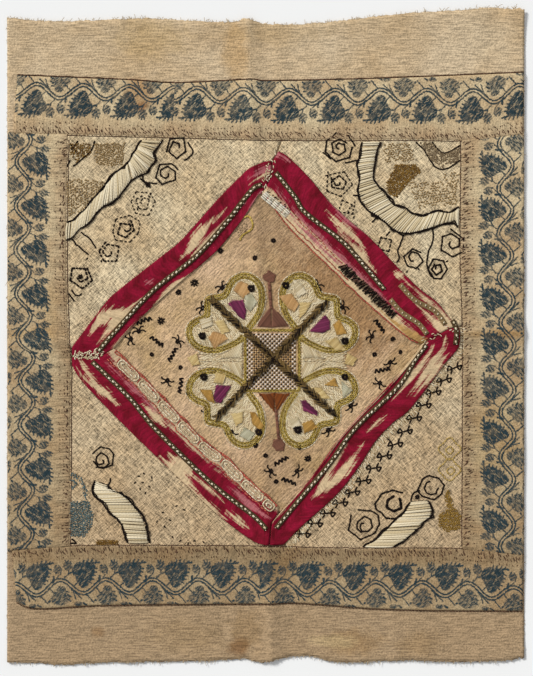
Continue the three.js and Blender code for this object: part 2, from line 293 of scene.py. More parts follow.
def add(tree, kind, *feeds, out=0, **settings):
    """Adds a node with its settings and what feeds its sockets, in order or by name, and gives an output."""
    made = tree.nodes.new(kind if kind.startswith("NodeGroup") else f"ShaderNode{kind}")
    for name, value in settings.items():
        setattr(made, name, value)
    named = feeds[0] if feeds and isinstance(feeds[0], dict) else dict(enumerate(feeds))
    for name, value in named.items():
        if isinstance(value, bpy.types.NodeSocket):
            tree.links.new(value, made.inputs[name])
        else:
            made.inputs[name].default_value = value
    return made.outputs[out] if out is not None else made


def new_finish(name):
    """An empty material and its tree."""
    finish = bpy.data.materials.new(name)
    finish.use_nodes = True
    finish.node_tree.nodes.clear()
    return finish, finish.node_tree


def cloth_surface(tree, colour, height, depth, roughness, shine=0.12):
    """The shader of a cloth: colour, thread relief of a depth in mm, roughness and shine."""
    normal = add(tree, "Bump", {"Height": height, "Distance": depth * MM, "Strength": 1.0})
    shader = add(tree, "BsdfPrincipled", {
        "Base Color": colour, "Roughness": roughness, "Normal": normal, "Specular IOR Level": shine,
    })
    add(tree, "OutputMaterial", {"Surface": shader}, out=None)


def place_in_mm(tree):
    """The place on the panel, in mm."""
    where = add(tree, "TexCoord", out=3)
    return add(tree, "VectorMath", {0: where, "Scale": 1 / MM}, operation="SCALE")


def group_of(name, inputs):
    """An empty node group that gives a cover, and its inputs."""
    tree = bpy.data.node_groups.new(name, "ShaderNodeTree")
    for label, kind in inputs.items():
        tree.interface.new_socket(label, in_out="INPUT", socket_type=f"NodeSocket{kind}")
    tree.interface.new_socket("Cover", in_out="OUTPUT", socket_type="NodeSocketFloat")
    return tree, tree.nodes.new("NodeGroupInput").outputs[:len(inputs)]


def stroke_group():
    """How much a round-ended stroke from one place to another covers, with soft edges."""
    tree, (place, start, end, half) = group_of("printed stroke", {
        "Place": "Vector", "From": "Vector", "To": "Vector", "Half": "Float",
    })
    whole = add(tree, "VectorMath", end, start, operation="SUBTRACT")
    part = add(tree, "VectorMath", place, start, operation="SUBTRACT")
    shared = add(tree, "VectorMath", part, whole, out=1, operation="DOT_PRODUCT")
    square = add(tree, "VectorMath", whole, whole, out=1, operation="DOT_PRODUCT")
    share = add(tree, "Math", shared, square, operation="DIVIDE", use_clamp=True)
    near = add(tree, "VectorMath", {0: whole, "Scale": share}, operation="SCALE")
    off = add(tree, "VectorMath", part, near, out=1, operation="DISTANCE")
    past = add(tree, "Math", off, half, operation="SUBTRACT")
    cover = add(tree, "MapRange", past, 0.3, -0.3)
    add(tree, "NodeGroupOutput", cover, out=None)
    return tree


def blob_group():
    """How much an oval covers, with a soft edge."""
    tree, (place, centre, size, turn) = group_of("printed blob", {
        "Place": "Vector", "Centre": "Vector", "Size": "Vector", "Turn": "Float",
    })
    off = add(tree, "VectorMath", place, centre, operation="SUBTRACT")
    turned = add(tree, "VectorRotate", {0: off, "Angle": turn}, rotation_type="Z_AXIS")
    shrunk = add(tree, "VectorMath", turned, size, operation="DIVIDE")
    away = add(tree, "VectorMath", shrunk, out=1, operation="LENGTH")
    cover = add(tree, "MapRange", away, 1.07, 0.93)
    add(tree, "NodeGroupOutput", cover, out=None)
    return tree


def flame_group():
    """How much a lens-shaped dyed patch covers, from one end to the other, in shares of the strip."""
    tree, (place, start, end, half, ragged) = group_of("dyed flame", {
        "Place": "Vector", "From": "Vector", "To": "Vector", "Half": "Float", "Ragged": "Float",
    })
    at, start, end = [add(tree, "SeparateXYZ", given, out=None).outputs for given in (place, start, end)]
    share = add(tree, "MapRange", at[0], start[0], end[0], clamp=False)
    centre = add(tree, "MapRange", at[0], start[0], end[0], start[1], end[1])
    from_middle = add(tree, "Math", share, -0.5, operation="ADD")
    from_middle = add(tree, "Math", from_middle, operation="ABSOLUTE")
    belly = add(tree, "MapRange", from_middle, 0.5, 0.0, interpolation_type="SMOOTHSTEP")
    wide = add(tree, "Math", belly, half, operation="MULTIPLY")
    past = add(tree, "MapRange", from_middle, 0.5, 1.5)
    off = add(tree, "Math", at[1], centre, operation="SUBTRACT")
    off = add(tree, "Math", off, operation="ABSOLUTE")
    within = add(tree, "Math", wide, off, operation="SUBTRACT")
    within = add(tree, "Math", within, ragged, operation="ADD")
    within = add(tree, "Math", within, past, operation="SUBTRACT")
    cover = add(tree, "MapRange", within, -0.03, 0.03)
    add(tree, "NodeGroupOutput", cover, out=None)
    return tree


# Old marks on the cloths: x, y, half width, half height in mm, colour, strength
STAINS = [
    (-95, 178, 4.5, 4, "7d5230", 0.75), (-100, 189, 9, 11, "a67b4c", 0.55),
    (-23, 222, 9, 24, "b08546", 0.35), (-90, 230, 26, 14, "b99a62", 0.30), (12, 236, 40, 9, "ad8f5f", 0.25),
    (-20, -240, 8, 7, "7b5634", 0.70), (-14, -228, 12, 16, "8a6a3f", 0.35),
    (66, -236, 22, 9, "8f6c3e", 0.45), (-130, -228, 5, 4, "84603a", 0.50), (52, -236, 17, 5, "c3ab80", 0.50),
    (178, 2, 26, 3.5, "9b7440", 0.55), (-180, 2, 20, 4, "a3804c", 0.40), (-168, 16, 8, 26, "b08c5a", 0.30),
    (118, -238, 16, 10, "86683f", 0.35), (-60, -232, 30, 12, "96794f", 0.25),
    (165, 228, 26, 14, "c9b595", 0.30), (10, -185, 14, 16, "8a6a42", 0.40),
    (178, -80, 18, 30, "a98a52", 0.25), (0, -170, 230, 12, "5f4829", 0.28),
]
# The middle cloth is browner to the right of the rosette, at its top and at its foot
CENTRE_STAINS = [
    (62, 34, 58, 58, "94704a", 0.85), (-4, 96, 44, 40, "9a7c5c", 0.60), (10, -104, 44, 30, "83623f", 0.36),
]


def stained(tree, where, colour, rows=STAINS):
    """The colour with old marks soaked into it."""
    edge = add(tree, "TexNoise", {"Vector": where, "Scale": 0.11, "Detail": 3.0, "Roughness": 0.6})
    for x, y, half_w, half_h, mark, strength in rows:
        off = add(tree, "VectorMath", where, (x, y, 0), operation="SUBTRACT")
        flat = add(tree, "VectorMath", off, (1 / half_w, 1 / half_h, 0), operation="MULTIPLY")
        away = add(tree, "VectorMath", flat, out=1, operation="LENGTH")
        ragged = add(tree, "Math", edge, 1.6, away, operation="MULTIPLY_ADD")
        cover = add(tree, "MapRange", ragged, 2.15, 1.35, 0, strength)
        colour = add(tree, "Mix", {0: cover, 6: colour, 7: linear(mark)}, out=2, data_type="RGBA")
    return colour


def clouded(tree, where, light, dark, size, low=0.35, high=0.65):
    """Two colours in soft clouds of a size in mm."""
    cloud = add(tree, "TexNoise", {"Vector": where, "Scale": 1 / size, "Detail": 4.0, "Roughness": 0.55})
    share = add(tree, "MapRange", cloud, low, high)
    return add(tree, "Mix", {0: share, 6: light, 7: dark}, out=2, data_type="RGBA")


def threads(tree, place, stretch, detail=2.0, roughness=0.5):
    """Uneven threads: a noise that is drawn out along them and packed close across them."""
    drawn = add(tree, "VectorMath", place, stretch, operation="MULTIPLY")
    return add(tree, "TexNoise", {"Vector": drawn, "Scale": 1.0, "Detail": detail, "Roughness": roughness})


def browner_below(tree, where, body, start, end, share, shade):
    """The body colour, ever browner from one level of the panel down to another."""
    height = add(tree, "SeparateXYZ", where, out=1)
    low = add(tree, "MapRange", height, start, end, 0, share)
    return add(tree, "Mix", {0: low, 6: body, 7: shade}, out=2, data_type="RGBA")


def woven(tree, body, weave, span, tones, depth, roughness):
    """The surface of a cloth whose weave both shades its colour and stands out of it."""
    tone = add(tree, "MapRange", weave, *span, *tones)
    colour = add(tree, "VectorMath", {0: body, "Scale": tone}, operation="SCALE")
    cloth_surface(tree, colour, weave, depth, roughness)


def linen_finish():
    """Plain-woven linen, hand spun: uneven level threads, soft brown clouds and old marks."""
    cloths = bpy.context.scene.panel_cloths
    finish, tree = new_finish("plain hand-spun linen")
    where = place_in_mm(tree)
    # Threads lie about 0.6 mm apart; the thick ones that show are drawn 1.4 mm apart
    slub = threads(tree, where, (0.09, 0.85, 0.0), 3.0)
    fine = add(tree, "TexNoise", {"Vector": where, "Scale": 0.75, "Detail": 2.0, "Roughness": 0.7})
    body = clouded(tree, where, cloths.linen, cloths.linen_dark, 60)
    body = browner_below(tree, where, body, 190, -190, 0.88, cloths.linen_low)
    body = stained(tree, where, body)
    mixed = add(tree, "Math", slub, fine, operation="ADD")
    woven(tree, body, mixed, (0.8, 1.2), (0.66, 1.32), 0.7, 0.92)
    return finish


# One repeat of the print in mm: along the border from a crest of the vine, up from the fold
# Strokes: from along, up, to along, up, half width
PRINT_STROKES = [
    (-6.6, 29.8, -4.0, 28.6, 0.55), (-8.4, 27.0, -5.6, 26.1, 0.6), (-9.7, 24.2, -7.2, 23.4, 0.6),
    (-10.8, 21.4, -8.4, 20.8, 0.6), (-11.4, 18.6, -9.4, 18.2, 0.6), (-13.2, 13.8, -8.0, 14.4, 0.75),
    (-10.9, 12.6, -9.6, 14.4, 0.65), (-8.0, 11.6, -6.8, 13.8, 0.65),
    (-4.8, 11.4, -3.9, 13.6, 0.65), (-1.4, 12.3, -0.9, 14.2, 0.65),
    (2.0, 13.6, 2.6, 15.4, 0.65), (5.2, 16.2, 4.6, 18.0, 0.65), (2.5, 27.6, 6.4, 31.6, 0.55),
    (-11.8, 29.4, -17.4, 23.4, 0.45), (-18.4, 22.6, -19.4, 18.6, 0.50), (-19.4, 18.6, -17.4, 15.8, 0.50),
    (-12.6, 28.4, -13.2, 24.6, 0.85), (-15.6, 15.8, -14.4, 16.6, 0.60), (14.4, 26.2, 11.4, 23.0, 0.45),
    (11.4, 23.0, 10.4, 19.8, 0.45), (8.4, 21.6, 10.8, 22.4, 0.70), (8.6, 13.0, 9.2, 14.2, 0.50),
    (10.6, 11.8, 10.8, 13.4, 0.50), (12.8, 12.0, 12.6, 13.6, 0.50), (-13.0, 37.2, -9.6, 32.6, 0.45),
    (-2.2, 38.4, -7.6, 44.6, 0.50), (-9.4, 43.0, -8.8, 43.4, 0.80), (1.6, 41.6, 7.4, 36.0, 0.55),
    (6.2, 41.8, 7.8, 36.6, 0.50), (7.8, 36.6, 11.4, 31.4, 0.45), (10.2, 43.4, 12.6, 41.8, 0.65),
    (10.0, 40.0, 12.4, 38.8, 0.65), (11.2, 36.4, 13.4, 36.2, 0.60), (-2.0, 46.6, 0.4, 45.2, 0.70),
    (-21.4, 26.0, -21.9, 24.4, 0.45),
]
# Ovals of the dark leaf, the buds and the pale leaves: along, up, half length, half height, turn in degrees
PRINT_OVALS = {
    "leaf": [
        (-0.4, 29.8, 4.0, 3.9, 0), (-0.9, 25.4, 6.5, 5.4, 0), (-2.0, 20.6, 7.8, 5.6, -8),
        (3.0, 20.4, 5.2, 5.4, 8), (-5.2, 16.8, 5.0, 3.2, -14), (1.0, 16.8, 4.8, 3.4, 0),
    ],
    "buds": [(-16.0, 19.4, 2.9, 3.0, 0), (11.0, 16.4, 3.7, 3.5, 0), (-24.5, 16.4, 3.7, 3.5, 0)],
    "pale": [
        (-17.6, 41.0, 7.6, 5.8, 0), (-18.8, 35.2, 3.9, 3.6, 0), (17.9, 41.0, 7.6, 5.8, 0),
        (4.2, 45.8, 3.0, 1.9, 0),
    ],
}
# The charted repeat starts this far from the crest; the vine swings about a level, and each of its two
# dark lines stands half its width from its middle
CHART_START = -22.0
VINE_SWING, VINE_LEVEL, VINE_HALF = 5.3, 32.3, 1.15


def most_of(tree, covers):
    """The strongest of several covers."""
    best = covers[0]
    for cover in covers[1:]:
        best = add(tree, "Math", best, cover, operation="MAXIMUM")
    return best


def charted_place(tree, where, parts, shift, rise, repeat, join):
    """Where a spot of the border lies in the charted repeat, and how far it is from the fold, mm."""
    run = add(tree, "Math", parts[0], -shift, operation="ADD")
    if join is not None:
        join_place, slip = join
        past = add(tree, "Math", parts[0], join_place, operation="LESS_THAN")
        run = add(tree, "Math", past, slip, run, operation="MULTIPLY_ADD")
    run = add(tree, "Math", run, repeat + CHART_START, CHART_START, operation="WRAP")
    up = add(tree, "Math", parts[1], -rise, operation="ADD")
    flat = add(tree, "CombineXYZ", run, up)
    # The block slips and the ink creeps by up to half a millimetre
    creep = add(tree, "TexNoise", {"Vector": where, "Scale": 0.8, "Detail": 2.0}, out=1)
    creep = add(tree, "VectorMath", creep, (0.5, 0.5, 0.5), operation="SUBTRACT")
    creep = add(tree, "VectorMath", creep, (2.1, 2.1, 0.0), operation="MULTIPLY")
    return add(tree, "VectorMath", flat, creep, operation="ADD"), up


def vine_cover(tree, place, repeat):
    """The vine, a wavy pale stem between two dark lines: its ink, and what lies clear of it."""
    along_it, up = add(tree, "SeparateXYZ", place, out=None).outputs[:2]
    turn = add(tree, "Math", along_it, 2 * math.pi / repeat, operation="MULTIPLY")
    swing = add(tree, "Math", turn, operation="COSINE")
    middle = add(tree, "Math", swing, VINE_SWING, VINE_LEVEL, operation="MULTIPLY_ADD")
    off = add(tree, "Math", up, middle, operation="SUBTRACT")
    # Where the stem slants, the upright distance to it is more than the true one and is cut down
    lean = add(tree, "Math", turn, operation="SINE")
    lean = add(tree, "Math", lean, lean, operation="MULTIPLY")
    lean = add(tree, "Math", lean, -0.27, 1.0, operation="MULTIPLY_ADD")
    off = add(tree, "Math", off, lean, operation="MULTIPLY")
    off = add(tree, "Math", off, operation="ABSOLUTE")
    rail = add(tree, "Math", off, VINE_HALF, operation="SUBTRACT")
    rail = add(tree, "Math", rail, operation="ABSOLUTE")
    return add(tree, "MapRange", rail, 0.9, 0.42), add(tree, "MapRange", off, 1.2, 2.2)


def ink_cover(tree, where, place, up, repeat):
    """How much ink a spot of the print holds: strokes, leaves, buds and vine, worn and uneven."""
    stroke = bpy.data.node_groups.get("printed stroke") or stroke_group()
    blob = bpy.data.node_groups.get("printed blob") or blob_group()
    marks = [add(tree, "Group", place, (x0, y0, 0), (x1, y1, 0), half, node_tree=stroke)
             for x0, y0, x1, y1, half in PRINT_STROKES]
    ovals = {}
    for key, rows in PRINT_OVALS.items():
        ovals[key] = [add(tree, "Group", place, (x, y, 0), (half_w, half_h, 1), math.radians(-turn),
                          node_tree=blob)
                      for x, y, half_w, half_h, turn in rows]
    vine, clear = vine_cover(tree, place, repeat)
    # Slanting flecks the block leaves bare: few on the dark leaf, many on the pale leaf and buds
    leaning = add(tree, "VectorRotate", {0: place, "Angle": math.radians(-38)}, rotation_type="Z_AXIS")
    leaning = add(tree, "VectorMath", leaning, (0.28, 1.15, 1.0), operation="MULTIPLY")
    speck = add(tree, "TexNoise", {"Vector": leaning, "Scale": 0.85, "Detail": 1.5, "Roughness": 0.6})
    leaf_ink = add(tree, "MapRange", speck, 0.62, 0.54, 0.42, 1.0)
    hatch = add(tree, "MapRange", speck, 0.56, 0.48, 0.42, 0.96)
    leaf = add(tree, "Math", most_of(tree, ovals["leaf"]), leaf_ink, operation="MULTIPLY")
    pale = most_of(tree, ovals["pale"] + ovals["buds"])
    pale = add(tree, "Math", pale, hatch, operation="MULTIPLY")
    pale = add(tree, "Math", pale, clear, operation="MULTIPLY")
    drawn = most_of(tree, marks + [vine])
    rest = most_of(tree, [leaf, pale])
    ink = add(tree, "Math", drawn, rest, operation="MAXIMUM")
    tip = add(tree, "MapRange", up, 10.5, 11.5)
    ink = add(tree, "Math", ink, tip, operation="MULTIPLY")
    patchy = add(tree, "TexNoise", {"Vector": where, "Scale": 0.16, "Detail": 3.0, "Roughness": 0.65})
    patchy = add(tree, "MapRange", patchy, 0.3, 0.5, 0.78, 1.0)
    return add(tree, "Math", ink, patchy, operation="MULTIPLY")


def print_finish(name, shift, rise, stretch, gather, join):
    """Cotton printed by block in blue-black on cream: a leafy vine, worn and unevenly inked."""
    cloths = bpy.context.scene.panel_cloths
    repeat = cloths.repeat / MM * stretch
    finish, tree = new_finish(name)
    where = place_in_mm(tree)
    on_cloth = add(tree, "Attribute", out=1, attribute_name="on_cloth")
    parts = add(tree, "SeparateXYZ", on_cloth, out=None).outputs
    place, up = charted_place(tree, where, parts, shift, rise, repeat, join)
    ink = ink_cover(tree, where, place, up, repeat)
    body = clouded(tree, where, cloths.cotton, cloths.cotton_dark, 22)
    near_fold = add(tree, "MapRange", parts[1], 15.0, 2.0, 0, 0.5)
    body = add(tree, "Mix", {0: near_fold, 6: body, 7: linear("9c8164")}, out=2, data_type="RGBA")
    body = browner_below(tree, where, body, 120, -200, 0.5, linear("7d6140"))
    body = stained(tree, where, body)
    dyed = add(tree, "Mix", {0: ink, 6: body, 7: cloths.ink}, out=2, data_type="RGBA")
    # Threads 0.5 mm apart are too fine to show, so the weave is drawn as a 1.3 mm grain
    grain = add(tree, "TexNoise", {"Vector": where, "Scale": 0.8, "Detail": 2.0, "Roughness": 0.65})
    # Folds that run from the hand-sewn edge into the plain margin
    folds = threads(tree, on_cloth, (0.85, 0.08, 0.0))
    margin = add(tree, "MapRange", parts[1], 22.0, 4.0, 0, gather)
    relief = add(tree, "Math", folds, -0.5, operation="ADD")
    relief = add(tree, "Math", relief, margin, operation="MULTIPLY")
    relief = add(tree, "Math", relief, 1.6, grain, operation="MULTIPLY_ADD")
    woven(tree, dyed, relief, (0.36, 0.64), (0.72, 1.22), 0.7, 0.9)
    return finish


def bias_finish(name):
    """Loosely woven cotton laid on the bias: slanting threads both ways, uneven, with dark gaps between."""
    cloths = bpy.context.scene.panel_cloths
    finish, tree = new_finish(name)
    where = place_in_mm(tree)
    turned = add(tree, "VectorRotate", {0: where, "Angle": math.radians(45)}, rotation_type="Z_AXIS")
    # Threads are about 1 mm apart; the thick ones that show are drawn 1.6 mm apart
    weave = add(tree, "TexNoise", {"Vector": where, "Scale": 0.95, "Detail": 2.0, "Roughness": 0.8})
    for stretch in ((0.17, 1.3, 1.0), (1.25, 0.2, 1.0)):
        thread = threads(tree, turned, stretch, 1.5)
        weave = add(tree, "Math", weave, thread, operation="ADD")
    body = clouded(tree, where, cloths.ribbed, cloths.ribbed_dark, 45)
    body = browner_below(tree, where, body, 60, -150, 0.62, linear("aa8e6d"))
    woven(tree, body, weave, (1.15, 1.85), (0.28, 1.72), 0.5, 0.93)
    return finish


def centre_finish():
    """Fine linen, worn and tea brown, its threads showing faintly on the slant."""
    cloths = bpy.context.scene.panel_cloths
    finish, tree = new_finish("fine worn linen")
    where = place_in_mm(tree)
    body = clouded(tree, where, cloths.centre, cloths.centre_dark, 38, 0.36, 0.66)
    body = stained(tree, where, body, CENTRE_STAINS)
    turned = add(tree, "VectorRotate", {0: where, "Angle": math.radians(45)}, rotation_type="Z_AXIS")
    # Threads 0.5 mm apart are too fine to show; the thick ones are drawn 1.3 mm apart
    slub = threads(tree, turned, (0.9, 0.14, 0.0))
    fine = add(tree, "TexNoise", {"Vector": where, "Scale": 0.8, "Detail": 2.0, "Roughness": 0.7})
    mixed = add(tree, "Math", slub, fine, operation="ADD")
    woven(tree, body, mixed, (0.8, 1.2), (0.6, 1.38), 0.6, 0.92)
    return finish


# Dyed flames on each strip, in shares of its length and width: from, to, half width, shade
FLAMES = {
    "tl": [
        (0.09, 0.18, 0.23, 0.16, 0.12, "pale"), (0.06, 0.46, 0.30, 0.50, 0.12, "pale"),
        (0.13, 0.30, 0.24, 0.36, 0.20, "pale"), (-0.06, 0.32, 0.18, 0.34, 0.09, "dyed"),
        (0.36, 0.30, 0.40, 0.30, 0.05, "pink"), (0.52, 0.34, 0.72, 0.20, 0.16, "pale"),
        (0.56, 0.50, 0.77, 0.50, 0.07, "pale"), (0.62, 0.36, 0.84, 0.36, 0.09, "dyed"),
        (0.70, 0.29, 0.78, 0.29, 0.03, "pale"), (0.83, 0.56, 0.90, 0.56, 0.05, "pink"),
        (0.90, 0.18, 1.06, 0.26, 0.10, "pink"), (0.90, 0.32, 1.04, 0.38, 0.05, "pale"),
        (-0.10, 1.02, 0.20, 1.02, 0.12, "pale"), (0.27, 0.98, 0.52, 1.00, 0.22, "pale"),
        (0.84, 0.98, 1.10, 1.00, 0.12, "pink"),
    ],
    "tr": [
        (-0.30, 0.10, 0.30, 0.10, 0.11, "pale"), (-0.16, 0.30, 0.16, 0.34, 0.11, "pale"),
        (0.02, 0.03, 0.22, 0.04, 0.04, "dyed"), (0.28, 0.10, 0.33, 0.10, 0.05, "pale"),
        (0.38, 0.42, 0.58, 0.32, 0.09, "pale"), (0.46, 0.28, 0.70, 0.17, 0.11, "pale"),
        (0.48, 0.31, 0.62, 0.25, 0.04, "dyed"), (0.52, 0.00, 0.72, 0.02, 0.07, "pink"),
        (-0.60, 1.04, 1.60, 1.04, 0.36, "pale"), (0.10, 0.67, 0.95, 0.71, 0.04, "pink"),
        (0.40, 0.80, 0.90, 0.82, 0.03, "pink"), (-0.40, 0.90, 0.26, 0.90, 0.18, "gold"),
        (0.94, 0.06, 1.06, 0.10, 0.05, "pink"),
    ],
    "br": [
        (0.03, 0.30, 0.28, 0.22, 0.12, "pale"), (0.10, 0.08, 0.29, 0.10, 0.09, "pale"),
        (0.04, 0.56, 0.30, 0.48, 0.12, "pale"), (0.14, 0.34, 0.34, 0.34, 0.06, "dyed"),
        (0.38, 0.30, 0.47, 0.30, 0.05, "pale"), (0.53, 0.20, 0.76, 0.24, 0.12, "pale"),
        (0.64, 0.38, 0.79, 0.40, 0.14, "pale"), (0.55, 0.56, 0.74, 0.52, 0.07, "pale"),
        (0.48, 0.38, 0.69, 0.38, 0.08, "dyed"), (-0.20, 0.94, 0.26, 0.96, 0.16, "pale"),
        (0.22, 0.99, 0.80, 1.02, 0.12, "pale"), (0.76, 0.94, 1.20, 0.94, 0.16, "pale"),
        (0.26, 0.87, 0.62, 0.88, 0.03, "pink"),
    ],
    "bl": [
        (0.01, 0.26, 0.16, 0.22, 0.04, "pale"), (0.08, 0.18, 0.24, 0.22, 0.09, "pale"),
        (0.03, 0.09, 0.12, 0.11, 0.03, "pale"), (0.48, 0.08, 0.68, 0.10, 0.16, "pale"),
        (0.50, 0.27, 0.64, 0.27, 0.13, "pale"), (0.62, 0.28, 0.78, 0.30, 0.04, "pale"),
        (0.60, 0.17, 0.82, 0.18, 0.06, "dyed"), (0.58, 0.02, 0.82, 0.03, 0.06, "pale"),
        (0.80, 0.18, 0.91, 0.22, 0.05, "pale"), (0.27, 0.62, 0.41, 0.64, 0.09, "pale"),
        (0.76, 0.62, 0.98, 0.64, 0.06, "pink"), (-0.60, 1.04, 1.60, 1.08, 0.37, "tan"),
        (0.04, 0.69, 0.34, 0.71, 0.03, "pink"),
    ],
}


def silk_finish(which):
    """Silk dyed crimson thread by thread before weaving, so the undyed flames have feathered ends."""
    cloths = bpy.context.scene.panel_cloths
    finish, tree = new_finish(f"flame-dyed silk {which}")
    share = add(tree, "Attribute", out=1, attribute_name="on_cloth")
    # Each dyed edge wanders along the strip, and steps from rib to rib across it
    streak = threads(tree, share, (11.0, 26.0, 0.0), roughness=0.6)
    step = threads(tree, share, (150.0, 2.2, 0.0), roughness=0.8)
    both = add(tree, "Math", step, 0.6, streak, operation="MULTIPLY_ADD")
    ragged = add(tree, "MapRange", both, 0.5, 1.1, -0.085, 0.085)
    tone = add(tree, "MapRange", threads(tree, share, (24.0, 3.0, 0.0), 4.0), 0.36, 0.64)
    dyed = add(tree, "Mix", {0: tone, 6: cloths.crimson, 7: cloths.crimson_deep}, out=2, data_type="RGBA")
    shades = {
        "dyed": dyed, "pale": linear("cfb58f"), "pink": linear("ad6468"), "gold": linear("b08a54"),
        "tan": linear("c0a585"),
    }
    flame = bpy.data.node_groups.get("dyed flame") or flame_group()
    body = dyed
    for x0, y0, x1, y1, half, shade in FLAMES[which]:
        cover = add(tree, "Group", share, (x0, y0, 0), (x1, y1, 0), half, ragged, node_tree=flame)
        body = add(tree, "Mix", {0: cover, 6: body, 7: shades[shade]}, out=2, data_type="RGBA")
    # Ribs across the strip, 1 mm apart, are drawn 1.8 mm apart
    where = place_in_mm(tree)
    grain = add(tree, "TexNoise", {"Vector": where, "Scale": 0.6, "Detail": 3.0, "Roughness": 0.7})
    rib = threads(tree, share, (115.0, 3.0, 0.0), 1.0)
    mixed = add(tree, "Math", rib, grain, operation="ADD")
    woven(tree, body, mixed, (0.75, 1.25), (0.74, 1.2), 0.35, 0.8)
    return finish


def braid_finish(name, colour):
    """Woven silk braid: dark ground with small ribs across it."""
    finish, tree = new_finish(name)
    share = add(tree, "Attribute", out=1, attribute_name="on_cloth")
    run, across = add(tree, "SeparateXYZ", share, out=None).outputs[:2]
    # Ribs lie on the slant, 1.6 mm apart
    slant = add(tree, "Math", across, 0.9, run, operation="MULTIPLY_ADD")
    slant = add(tree, "Math", slant, 2 * math.pi / 1.6, operation="MULTIPLY")
    rib = add(tree, "Math", slant, operation="SINE")
    uneven = add(tree, "TexNoise", {"Vector": place_in_mm(tree), "Scale": 0.7, "Detail": 3.0})
    weave = add(tree, "Math", uneven, 3.0, rib, operation="MULTIPLY_ADD")
    woven(tree, colour[:3], weave, (0.4, 2.6), (0.55, 1.35), 0.25, 0.8)
    return finish


# Threads: lighter and darker colour, roughness, shine
THREADS = {
    "cream braid knots": ("f2e8d0", "cdbb96", 0.45, 0.2),
    "black silk thread": ("261b17", "0b0706", 0.75, 0.08),
    "cream satin floss": ("f7e9cb", "c6b085", 0.5, 0.3),
    "brown silk thread": ("94702f", "573a17", 0.65, 0.2),
    "tan silk thread": ("a98c5e", "806439", 0.65, 0.2),
    "faded grey thread": ("a18b69", "64503a", 0.65, 0.2),
    "teal silk thread": ("6f8484", "2f3f42", 0.65, 0.2),
    "ochre silk thread": ("a88438", "70531f", 0.65, 0.2),
    "pale ochre thread": ("cdb06c", "9c7f42", 0.6, 0.2),
    "golden chain thread": ("e0c468", "8a6c28", 0.55, 0.2),
    "olive-brown thread": ("85693a", "0d0906", 0.6, 0.2),
    "laid cream thread": ("f4e5c2", "cbb184", 0.6, 0.2),
    "mauve-brown thread": ("93644f", "5e3b2e", 0.6, 0.2),
    "rust thread": ("9a5420", "57290e", 0.6, 0.2),
    "brick red thread": ("c96a54", "96382f", 0.6, 0.2),
    "brown sewing thread": ("6a4a3a", "38221a", 0.75, 0.1),
    "white couched cord": ("fbf5e6", "cfc4a8", 0.5, 0.2),
    "linen sewing thread": ("c8b08c", "8a6d48", 0.8, 0.1),
    "frayed linen thread": ("d2bd9b", "a58b66", 0.9, 0.1),
    "peach floss": ("e0b67f", "b98b55", 0.5, 0.2),
    "sage cream floss": ("d8d2b6", "a9a181", 0.5, 0.2),
    "plum floss": ("9a3f68", "4a1230", 0.5, 0.2),
    "straw floss": ("ecd49a", "c2a266", 0.5, 0.2),
    "gold floss": ("d3a558", "98702f", 0.5, 0.2),
    # Laid under the rosette's chains: dark ground and painted shade
    "dark olive shade thread": ("5c4a20", "35290f", 0.7, 0.2),
    "pale pink thread": ("fbeee2", "dac8b8", 0.6, 0.2),
    "near-black thread": ("54422f", "241a13", 0.7, 0.1),
    "warm brown thread": ("a87f45", "6b4a26", 0.6, 0.2),
}


def thread_finish(name):
    """Twisted thread: a shade that changes from stitch to stitch, a slanting ply, and painted shade on the
    sides of each stitch.
    """
    if name in bpy.data.materials:
        return bpy.data.materials[name]
    light, dark, roughness, shine = THREADS[name]
    finish, tree = new_finish(name)
    thread = add(tree, "Attribute", out=1, attribute_name="thread")
    run, around, shade = add(tree, "SeparateXYZ", thread, out=None).outputs
    # Ply repeats every 1.1 mm along the thread
    ply = add(tree, "Math", run, 1 / 1.1, around, operation="MULTIPLY_ADD")
    ply = add(tree, "Math", ply, 2 * math.pi, operation="MULTIPLY")
    ply = add(tree, "Math", ply, operation="SINE")
    shade = add(tree, "Math", ply, 0.14, shade, operation="MULTIPLY_ADD", use_clamp=True)
    body = add(tree, "Mix", {0: shade, 6: linear(dark), 7: linear(light)}, out=2, data_type="RGBA")
    # Painted shade: the colour darkens towards both sides of every stitch, down to 0.42 of its top
    away = add(tree, "Math", around, operation="ABSOLUTE")
    painted_side_shade = add(tree, "MapRange", away, 0.11, 0.26, 1.0, 0.42)
    colour = add(tree, "VectorMath", {0: body, "Scale": painted_side_shade}, operation="SCALE")
    cloth_surface(tree, colour, ply, 0.12, roughness, shine)
    return finish


# Sheets


def ready(piece, slot, *nodes):
    """The piece rides on the panel and stands for CAD nodes; the slot is not used."""
    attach(piece, "root")
    if nodes:
        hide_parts(*nodes)


def shelf(name, mesh, finish):
    """A new object that holds a mesh and its finish."""
    piece = bpy.data.objects.new(name, mesh)
    piece.data.materials.append(finish)
    bpy.context.scene.collection.objects.link(piece)
    return piece


def spaced_ends(share, closer):
    """Shares from 0 to 1 that stand closer together at both ends."""
    return share - closer * np.sin(2 * math.pi * share) / (2 * math.pi)


